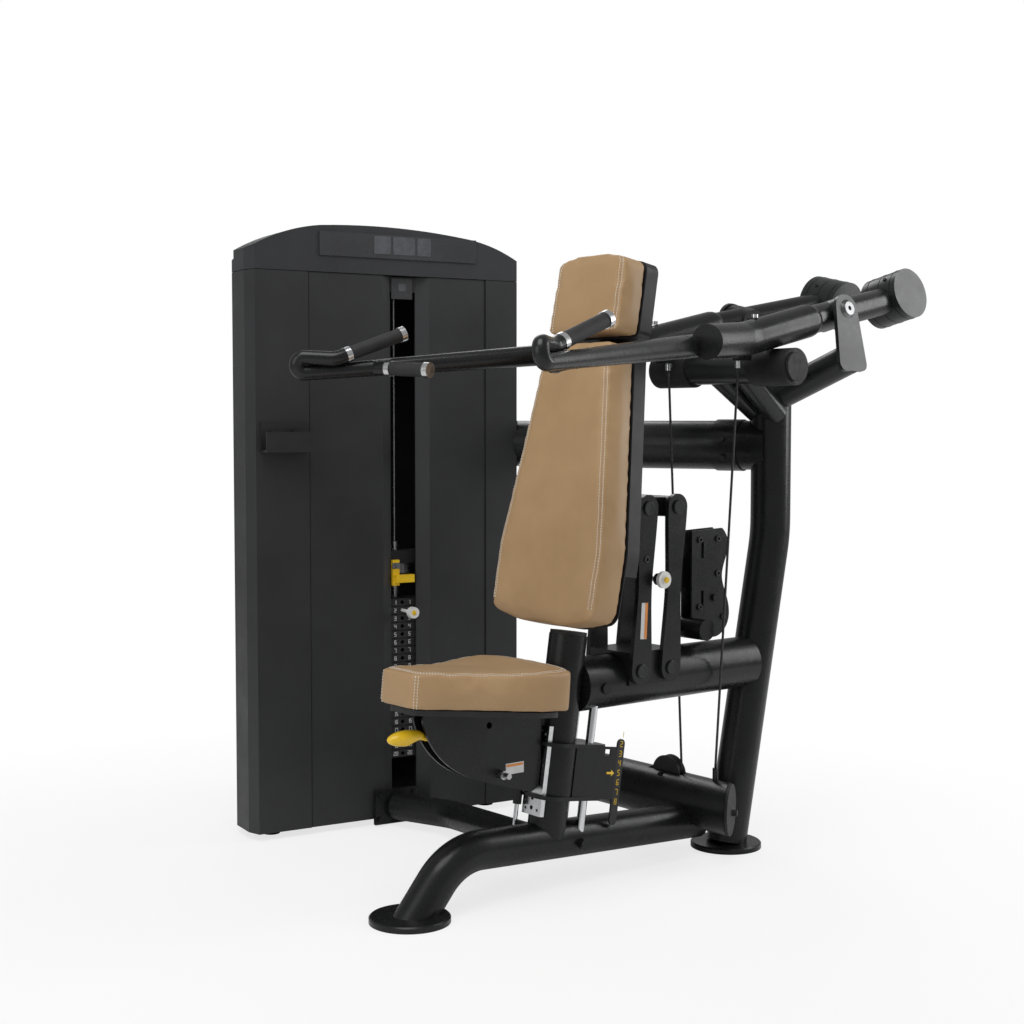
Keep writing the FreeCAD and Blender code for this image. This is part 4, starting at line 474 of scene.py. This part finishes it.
def stitch_row(name, points, normals, body, spacing=0.0066, length=0.0048, radius=0.00078):
    """Short raised stitches laid along a path on the pad."""
    def build(shape):
        travelled = 0.0
        due = 0.0
        for (a, na), (b, nb) in zip(zip(points, normals), list(zip(points, normals))[1:]):
            step = (b - a).length
            while step > 1e-6 and due <= travelled + step:
                share = (due - travelled) / step
                centre = a.lerp(b, share)
                normal = na.lerp(nb, share).normalized()
                run = (b - a).normalized()
                side = run.cross(normal).normalized()
                place = basis(centre + normal * radius * 0.5, run, side, run.cross(side) * -1)
                rings = []
                for t in (-1.0, -0.55, 0.0, 0.55, 1.0):
                    swell = radius * (0.35 if abs(t) == 1.0 else 1.0)
                    turns = [k * math.pi / 3 for k in range(6)]
                    rim = [Vector((t * length / 2, swell * math.cos(a), swell * math.sin(a))) for a in turns]
                    rings.append([shape.verts.new(place @ point) for point in rim])
                for low, high in zip(rings, rings[1:]):
                    for k in range(6):
                        shape.faces.new((low[k], low[(k + 1) % 6], high[(k + 1) % 6], high[k]))
                shape.faces.new(list(reversed(rings[0])))
                shape.faces.new(rings[-1])
                due += spacing
            travelled += step
    return add_mesh(name, build, THREAD, body)


def seam_cord(name, points, normals, body, material, radius=0.0016, sink=0.0006):
    """A thin welt along a sewn seam."""
    def build(shape):
        rings = []
        for index, (point, normal) in enumerate(zip(points, normals)):
            ahead = points[min(index + 1, len(points) - 1)] - points[max(index - 1, 0)]
            run = ahead.normalized()
            side = run.cross(normal).normalized()
            rings.append([shape.verts.new(point + normal * (radius * math.sin(k * math.pi / 4) - sink) +
                                          side * radius * math.cos(k * math.pi / 4)) for k in range(8)])
        for low, high in zip(rings, rings[1:]):
            for k in range(8):
                shape.faces.new((low[k], low[(k + 1) % 8], high[(k + 1) % 8], high[k]))
        shape.faces.new(list(reversed(rings[0])))
        shape.faces.new(rings[-1])
    return add_mesh(name, build, material, body)


def path_on(obj, guide, toward_pad, lift=0.12):
    """Guide points dropped onto a pad along a direction."""
    points, normals = [], []
    for place in guide:
        point, normal = surface_point(obj, place - toward_pad * lift, toward_pad)
        if point is not None:
            points.append(point)
            normals.append(normal)
    return points, normals


def dense(corners, step=0.006, closed=False):
    """Points every step along a line through the corners."""
    result = []
    ends = corners[1:] + corners[:1] if closed else corners[1:]
    for a, b in zip(corners, ends):
        count = max(1, int((b - a).length / step))
        result += [a.lerp(b, i / count) for i in range(count)]
    if not closed:
        result.append(corners[-1])
    return result


# ---- Pads -----------------------------------------------------------------------------------------
def pad_frame(node, along, out, across=X_AXIS):
    """A pad's own directions: x across, y along, z out of its front, from the centre of its back."""
    points = [v.co for v in NODES[node].data.vertices]
    lengths = [p.dot(along) for p in points]
    depths = [p.dot(out) for p in points]
    centre = along * ((min(lengths) + max(lengths)) / 2) + out * min(depths)
    half = (max(lengths) - min(lengths)) / 2
    return basis(centre, across, along, out), half, max(depths) - min(depths)


def make_back_pads():
    """The back pad and the head pad as stuffed cushions, which sew_back_pads gives their edge seams and stitch rows."""
    pads = {}
    for node, cap, body in (("back_pad", 0.0045, "back_rest"), ("head_pad", 0.004, "back_rest")):
        place, half, depth = pad_frame(node, BACK_UP, BACK_OUT)
        rear = place.translation
        pad = cushion(f"{node}_cushion", node, 0.0055, 0.0030, cap, rear, BACK_OUT)
        pads[node] = (finish_pad(pad, node, TAN, body), place, half, depth)
    return pads


def edge_guide(node, place, half, margin, low_cut, high_cut, steps=60):
    """Points down one side of a pad's front, a margin inside its outline, at the +X side."""
    into = place.inverted()
    local = [into @ v.co for v in NODES[node].data.vertices]
    corners = sorted(((p.y, p.x) for p in local if p.x > 0), key=lambda p: p[0])
    rows = []
    for step in range(steps + 1):
        y = -half + low_cut + (2 * half - low_cut - high_cut) * step / steps
        near = [x for yy, x in corners if abs(yy - y) < half * 0.9]
        below = max((c for c in corners if c[0] <= y), key=lambda c: (round(c[0], 3), c[1]), default=None)
        above = min((c for c in corners if c[0] >= y), key=lambda c: (round(c[0], 3), -c[1]), default=None)
        if below is None or above is None or not near:
            continue
        share = 0 if above[0] - below[0] < 1e-6 else (y - below[0]) / (above[0] - below[0])
        rows.append(place @ Vector((below[1] + (above[1] - below[1]) * share - margin, y, 0)))
    return rows


def sew_back_pads(pads):
    """Each pad has a seam down both sides of its front panel, with a stitch row beside it."""
    for node, (pad, place, half, depth) in pads.items():
        low_cut, high_cut = (0.050, 0.012) if node == "back_pad" else (0.010, 0.014)
        for side in (1, -1):
            guide = edge_guide(node, place, half, 0.015, low_cut, high_cut)
            into = place.inverted()
            flipped = []
            for point in guide:
                local = into @ point
                flipped.append(place @ Vector((local.x * side, local.y, depth)))
            points, normals = path_on(pad, flipped, -BACK_OUT)
            tag = "left" if side > 0 else "right"
            # the welts take the darker tan copy, painted shade along the seams
            seam_cord(f"{node}_seam_{tag}", points, normals, "back_rest", TAN_PAINTED_SHADE, 0.0013, 0.0008)
            for row, shift in (("a", 0.0042), ("b", -0.0042)):
                shifted = [p + X_AXIS * side * shift for p in points]
                dropped, up = path_on(pad, shifted, -BACK_OUT)
                stitch_row(f"{node}_stitch_{tag}_{row}", dropped, up, "back_rest")


def make_seat_pad():
    """The saddle-backed seat pad, with a double stitch row round its top edge and down its front corners."""
    place, half, depth = pad_frame("seat_pad", SEAT_BACK, SEAT_UP, X_AXIS)
    pad = cushion("seat_cushion", "seat_pad", 0.0055, 0.0025, 0.0045, place.translation, SEAT_UP)
    into = place.inverted()
    for vertex in pad.data.vertices:
        local = into @ vertex.co
        rearward = max(0.0, min(1.0, (local.y + 0.04) / (half - 0.02)))
        across = max(0.0, 1 - (abs(local.x) / 0.16) ** 2)
        front = max(0.0, min(1.0, local.z / depth))
        vertex.co += SEAT_UP * ((0.011 + 0.008 * across) * rearward * rearward * front)
    finish_pad(pad, "seat_pad", TAN, "seat")

    def ray_ring(margin, height):
        found = []
        for angle in range(0, 360, 2):
            turn = math.radians(angle)
            ray = (place.to_3x3() @ Vector((math.sin(turn), -math.cos(turn), 0))).normalized()
            start = place @ Vector((0, 0, height))
            hit, point, _, _ = pad.ray_cast(start + ray * 0.4, -ray)
            if hit:
                found.append(point - ray * margin)
        return found
    ring = ray_ring(0.013, depth * 0.62)
    middle = place @ Vector((0, 0, 0))
    for row, shrink in (("a", 0.0), ("b", 0.0065)):
        guide = []
        for point in ring + ring[:1]:
            inward = middle - point
            inward -= SEAT_UP * inward.dot(SEAT_UP)
            guide.append(point + inward.normalized() * shrink + SEAT_UP * 0.1)
        points, normals = path_on(pad, dense(guide, 0.004), -SEAT_UP, 0.1)
        stitch_row(f"seat_stitch_{row}", points, normals, "seat")
    for side in (1, -1):
        ray = (place.to_3x3() @ Vector((side * 0.72, -0.70, 0))).normalized()
        sideways = ray.cross(SEAT_UP).normalized()
        for row, shift in (("a", 0.0033), ("b", -0.0033)):
            corner = place @ Vector((side * 0.050, -half + 0.022, 0)) + sideways * shift
            guide = [corner + SEAT_UP * (0.006 + 0.003 * i) for i in range(int((depth - 0.010) / 0.003))]
            points, normals = path_on(pad, guide, -ray, 0.1)
            tag = "left" if side > 0 else "right"
            stitch_row(f"seat_corner_stitch_{tag}_{row}", points, normals, "seat")
    return pad


# ---- Numbers, labels and small hardware -----------------------------------------------------------
def tower_at(along, out, up):
    """A point in the tower's own directions, from the foot of its front corner."""
    corner = Vector((-0.778, 0.081, 0.0))
    return corner + ALONG * along + OUT * out + Z_AXIS * up


def tower_face(along, out, up):
    """A placement on the tower's face: x along it, y up, z out."""
    return basis(tower_at(along, out, up), ALONG, Z_AXIS, OUT)


def dress_tower():
    """Blank tiles on the placard, plate numbers in two columns, and the add-on weight's yellow lever."""
    def tiles(shape):
        for along, half in ((0.3535, 0.024), (0.4165, 0.032), (0.4755, 0.020)):
            slab(shape, rectangle(half, 0.0235), 0.0, 0.0008, tower_face(along, 0.0042, 1.5375))
        slab(shape, rectangle(0.011, 0.010), 0.0, 0.0008, tower_face(0.4215, -0.0204, 1.432))
    add_mesh("placard_blank_tiles", tiles, SCREEN, "frame", smooth=False, bevel=0.0002)

    face = PLATE_FACE
    levels = [0.170 + 0.0216 * i + 0.010 for i in range(PLATE_COUNT)]

    def figures(chosen):
        def build(shape):
            for level, count in chosen:
                for column in (0.404, 0.446):
                    number(shape, str(count), tower_face(column, -face + 0.0001, level), 0.0095)
        return build
    counted = [(level, PLATE_COUNT - i) for i, level in enumerate(levels)]
    for name, chosen, body in (("resting", counted[:PLATES_RESTING], "frame"),
                                ("lifted", counted[PLATES_RESTING:], "weight_stack")):
        add_mesh(f"{name}_plate_numbers", figures(chosen), WHITE, body, smooth=False)

    def lever(shape):
        slab(shape, rectangle(0.0107, 0.0347), -0.0046, 0.0046, tower_face(0.400, -0.022, 0.672))
        slab(shape, rectangle(0.0277, 0.0107), -0.0006, 0.0146, tower_face(0.423, -0.022, 0.656))
    add_mesh("addon_lever", lever, YELLOW, "addon", bevel=0.0008)

    def clip(shape):
        slab(shape, rectangle(0.0112, 0.008), 0.0044, 0.0056, tower_face(0.400, -0.022, 0.691))
    add_mesh("addon_lever_clip", clip, STEEL, "addon", smooth=False)

    low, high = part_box("selector_pin")
    tip = tower_at(0.425, 0.0, (low.z + high.z) / 2)
    reach = max((vertex.co - tip).dot(OUT) for vertex in NODES["selector_pin"].data.vertices)

    def button(shape):
        lathe(shape, [(0.0075, -0.003), (0.0075, 0.0012), (0.0055, 0.0024), (0.0020, 0.0028)],
              toward(tip + OUT * (reach - 0.0015), OUT), 28)
    add_mesh("selector_pin_button", button, YELLOW, "selector")


def dress_seat():
    """Scale numbers and arrow, and the blank label with its orange band on the bracket."""
    post_foot = Vector((0, 0.381, 0.114))

    def scale_face(back, up):
        place = post_foot + X_AXIS * SCALE_FACE_X + POST_BACK * back + POST_UP * up
        return basis(place, POST_BACK, POST_UP, X_AXIS)

    def figures(shape):
        for index in range(8):
            number(shape, str(index + 1), scale_face(0.163, 0.165 + 0.0225 * (4 - index)), 0.0125)
    add_mesh("seat_scale_numbers", figures, YELLOW, "frame", smooth=False)

    def arrow(shape):
        spot = post_foot + X_AXIS * INDEX_FACE_X + POST_BACK * 0.132 + POST_UP * 0.165
        place = basis(spot, POST_BACK, POST_UP, X_AXIS)
        slab(shape, [(-0.012, -0.0025), (0.002, -0.0025), (0.002, -0.0075), (0.012, 0.0), (0.002, 0.0075), (0.002, 0.0025),
                     (-0.012, 0.0025)], 0.0, 0.0006, place)
    add_mesh("seat_height_arrow", arrow, YELLOW, "seat", smooth=False)

    def label(shape):
        place = basis(Vector((0.0202, 0.275, 0.300)), Y_AXIS, Z_AXIS, X_AXIS)
        slab(shape, rectangle(0.026, 0.0125), 0.0, 0.0005, place)
    add_mesh("bracket_blank_label", label, LABEL, "seat", smooth=False, bevel=0.0001)

    def band(shape):
        place = basis(Vector((0.0208, 0.275, 0.3075)), Y_AXIS, Z_AXIS, X_AXIS)
        slab(shape, rectangle(0.024, 0.0028), 0.0, 0.0003, place)
    add_mesh("bracket_label_band", band, ORANGE, "seat", smooth=False)


LINK_FRONT = 1.0                        # the orange band runs down the link label's front half


def link_at(across_y, up, x):
    """A placement on the near face of the front link."""
    lean = math.radians(3.0)
    y = Vector((0, math.sin(lean), math.cos(lean)))
    z = X_AXIS
    side = y.cross(z)
    origin = Vector((x, 0.608 + across_y, 0.493)) + y * up
    return basis(origin, side, y, z)


def dress_linkage():
    """Pin screws, the blank label on the front link and the pop pin's yellow button."""
    side_x = 0.0822
    for name, shift, body in (("front", 0.0, "front_link"), ("rear", 0.096, "rear_link")):
        def bolts(shape, shift=shift):
            for up in (0.0, 0.382):
                for x, axis in ((0.0862, X_AXIS), (-0.0862, X_AXIS * -1)):
                    start = link_at(shift, up, x).translation
                    lathe(shape, [(0.0165, -0.0035), (0.0165, 0.0), (0.0150, 0.0012), (0.0095, 0.0012), (0.0088, 0.0004)],
                          toward(start, axis), 28)
        add_mesh(f"{name}_link_pin_washers", bolts, HEAD_PAINT, body)

    def label(shape):
        slab(shape, rectangle(0.0100, 0.0425), 0.0, 0.0005, link_at(0.0, 0.118, side_x))
    add_mesh("link_blank_label", label, LABEL, "front_link", smooth=False)

    def band(shape):
        slab(shape, rectangle(0.0042, 0.0420), 0.0, 0.0003, link_at(0.0058 * LINK_FRONT, 0.118, side_x + 0.0005))
    add_mesh("link_label_band", band, ORANGE, "front_link", smooth=False)
    low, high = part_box("pop_pin")
    centre = (low + high) / 2

    def button(shape):
        lathe(shape, [(0.0070, -0.001), (0.0070, 0.0030), (0.0055, 0.0042), (0.0020, 0.0046)],
              toward(Vector((high.x, centre.y, centre.z)), X_AXIS), 28)
    add_mesh("pop_pin_button", button, YELLOW, "link_lock")

    def sleeve(shape):
        lathe(shape, [(0.0128, 0.0), (0.0140, 0.001), (0.0140, 0.0125), (0.0128, 0.0135)],
              toward(Vector((0.0825, centre.y, centre.z)), X_AXIS), 28)
    add_mesh("pop_pin_sleeve", sleeve, BLACK_PLASTIC, "link_lock")
    screws("link_stop_screw", [toward(link_at(0.0, 0.262, side_x - 0.002).translation, X_AXIS)], BLACK_PLASTIC,
           "front_link", 0.0085, 0.0045)


def dress_arms():
    """Clamp seams and screws on the counterweights."""
    for side, body in ((1, "left_press_arm"), (-1, "right_press_arm")):
        tag = "left" if side > 0 else "right"
        out = Vector((side * math.cos(PIVOT_TILT), 0, math.sin(PIVOT_TILT)))
        low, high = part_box(f"{tag}_counterweight")
        centre = (low + high) / 2
        up = Vector((-side * math.sin(PIVOT_TILT), 0, math.cos(PIVOT_TILT)))
        front = Vector((0, -1, 0))

        def seams(shape):
            for offset in (0.0, 0.038, -0.038):
                lathe(shape, [(0.0655, -0.0016), (0.0668, -0.0010), (0.0668, 0.0010), (0.0655, 0.0016)],
                      toward(centre + out * offset, out), 64)
        add_mesh(f"{tag}_counterweight_rings", seams, PAINT, body)
        spots = []
        for angle in (0.85, 2.15):
            ray = up * math.cos(angle) + front * math.sin(angle)
            spots.append(toward(centre + ray * COUNTERWEIGHT_RADIUS + out * 0.019, ray))
        screws(f"{tag}_counterweight_screws", spots, BLACK_PLASTIC, body, 0.0052, 0.004)


def dress_frame():
    """Screws in the pulley guard's near plate."""
    places = ((0.862, 0.786), (0.925, 0.786), (0.925, 0.700), (0.862, 0.620), (0.945, 0.590), (0.914, 0.640))
    spots = [toward(Vector((GUARD_FACE_X, y, z)), X_AXIS) for y, z in places]
    screws("guard_screws", spots, BLACK_PLASTIC, "frame", 0.008, 0.005)


# ---- Cables ---------------------------------------------------------------------------------------
def make_cable(name, node):
    """A straight cable from the lower cross beam up to an arm."""
    low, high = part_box(node)
    points = [v.co for v in NODES[node].data.vertices]
    bottom = [p for p in points if p.z < low.z + 0.004]
    top = [p for p in points if p.z > high.z - 0.004]
    start = sum(bottom, Vector()) / len(bottom)
    end = sum(top, Vector()) / len(top)
    steps = 60

    def build(shape):
        run = (end - start).normalized()
        side = run.cross(Vector((0, 1, 0))).normalized()
        other = run.cross(side)
        rings = []
        for i in range(steps + 1):
            centre = start.lerp(end, i / steps)
            turns = [k * math.pi / 6 for k in range(12)]
            rims = [(side * math.cos(turn) + other * math.sin(turn)) * CABLE_RADIUS for turn in turns]
            rings.append([shape.verts.new(centre + rim) for rim in rims])
        for a, b in zip(rings, rings[1:]):
            for k in range(12):
                shape.faces.new((a[k], a[(k + 1) % 12], b[(k + 1) % 12], b[k]))
        shape.faces.new(list(reversed(rings[0])))
        shape.faces.new(rings[-1])
    mesh = bpy.data.meshes.new(name)
    shape = bmesh.new()
    build(shape)
    shape.to_mesh(mesh)
    shape.free()
    cable = bpy.data.objects.new(name, mesh)
    bpy.context.collection.objects.link(cable)
    mesh.materials.append(CABLE)
    for face in mesh.polygons:
        face.use_smooth = True
    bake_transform(cable)
    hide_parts(node)
    return cable


# ---- Stage ----------------------------------------------------------------------------------------
def make_stage():
    """A pale flat floor, a white world and soft lights."""
    size = 14.0
    floor_mesh = bpy.data.meshes.new("studio_floor")
    shape = bmesh.new()
    signs = ((-1, -1), (1, -1), (1, 1), (-1, 1))
    corners = [shape.verts.new((x * size, y * size, -0.0005)) for x, y in signs]
    shape.faces.new(corners)
    shape.to_mesh(floor_mesh)
    shape.free()
    floor = bpy.data.objects.new("studio_floor", floor_mesh)
    bpy.context.collection.objects.link(floor)
    material, tree, shader, where = new_material("studio_floor")
    tint = noise(tree, where, 0.6)
    tree.links.new(tones(tree, tint, (0.88, 0.88, 0.88), (0.92, 0.92, 0.92)), shader.inputs["Base Color"])
    shader.inputs["Roughness"].default_value = 0.85
    shader.inputs["Specular IOR Level"].default_value = 0.05
    away = tree.nodes.new("ShaderNodeVectorMath")
    away.operation = "LENGTH"
    tree.links.new(where, away.inputs[0])
    fade = spread(tree, away.outputs["Value"], 0.74, 1.0, 0.9, 2.3)
    seen = tree.nodes.new("ShaderNodeLightPath").outputs["Is Camera Ray"]
    share = tree.nodes.new("ShaderNodeMath")
    share.operation = "MULTIPLY"
    tree.links.new(fade, share.inputs[0])
    tree.links.new(seen, share.inputs[1])
    white = tree.nodes.new("ShaderNodeEmission")
    white.inputs["Color"].default_value = (1.0, 1.0, 1.0, 1)
    both = tree.nodes.new("ShaderNodeMixShader")
    tree.links.new(share.outputs["Value"], both.inputs[0])
    tree.links.new(shader.outputs["BSDF"], both.inputs[1])
    tree.links.new(white.outputs["Emission"], both.inputs[2])
    tree.links.new(both.outputs["Shader"], tree.nodes["Material Output"].inputs["Surface"])
    floor_mesh.materials.append(material)

    world = bpy.data.worlds.new("studio")
    bpy.context.scene.world = world
    world.use_nodes = True
    sky = world.node_tree
    sky.nodes["Background"].inputs["Color"].default_value = (1.0, 1.0, 1.0, 1)
    level = sky.nodes.new("ShaderNodeMapRange")
    level.inputs["To Min"].default_value = 0.37
    level.inputs["To Max"].default_value = 1.0
    sky.links.new(sky.nodes.new("ShaderNodeLightPath").outputs["Is Camera Ray"], level.inputs["Value"])
    sky.links.new(level.outputs["Result"], sky.nodes["Background"].inputs["Strength"])

    target = Vector((-0.25, 0.60, 0.75))

    def area(name, direction, distance, size_x, size_y, power):
        light = bpy.data.lights.new(name, "AREA")
        light.shape = "RECTANGLE"
        light.size = size_x
        light.size_y = size_y
        light.energy = power
        obj = bpy.data.objects.new(name, light)
        bpy.context.collection.objects.link(obj)
        ray = Vector(direction).normalized()
        obj.location = target + ray * distance
        obj.rotation_mode = "QUATERNION"
        obj.rotation_quaternion = ray.to_track_quat("Z", "Y")
        return obj
    area("key_softbox", (0.35, -0.55, 1.15), 4.2, 2.4, 2.4, 84)
    area("side_softbox", (0.50, 0.80, 0.33), 3.6, 1.3, 2.4, 42)
    area("front_softbox", (0.10, -1.0, 0.35), 4.5, 2.4, 2.4, 34)
    area("rim_softbox", (-0.9, 0.5, 0.8), 4.5, 2.0, 2.0, 30)


def make_camera():
    """The camera stands in front and to the user's left, a little above the arms' pins, looking level."""
    data = bpy.data.cameras.new("camera")
    data.sensor_width = 36.0
    data.lens = 56.25
    data.clip_end = 60.0
    camera = bpy.data.objects.new("camera", data)
    bpy.context.collection.objects.link(camera)
    camera.location = (2.7746, -1.9673, 1.075)
    azimuth = math.radians(50.95)
    fall = math.radians(3.22)
    look = Vector((-math.sin(azimuth) * math.cos(fall), math.cos(azimuth) * math.cos(fall), -math.sin(fall)))
    camera.rotation_mode = "QUATERNION"
    camera.rotation_quaternion = look.to_track_quat("-Z", "Y")
    bpy.context.scene.camera = camera


sew_back_pads(make_back_pads())
make_seat_pad()
dress_tower()
dress_seat()
dress_linkage()
dress_arms()
dress_frame()
make_cable("left_arm_cable_line", "left_cable")
make_cable("right_arm_cable_line", "right_cable")
make_stage()
make_camera()
bpy.context.scene.view_settings.view_transform = "Standard"
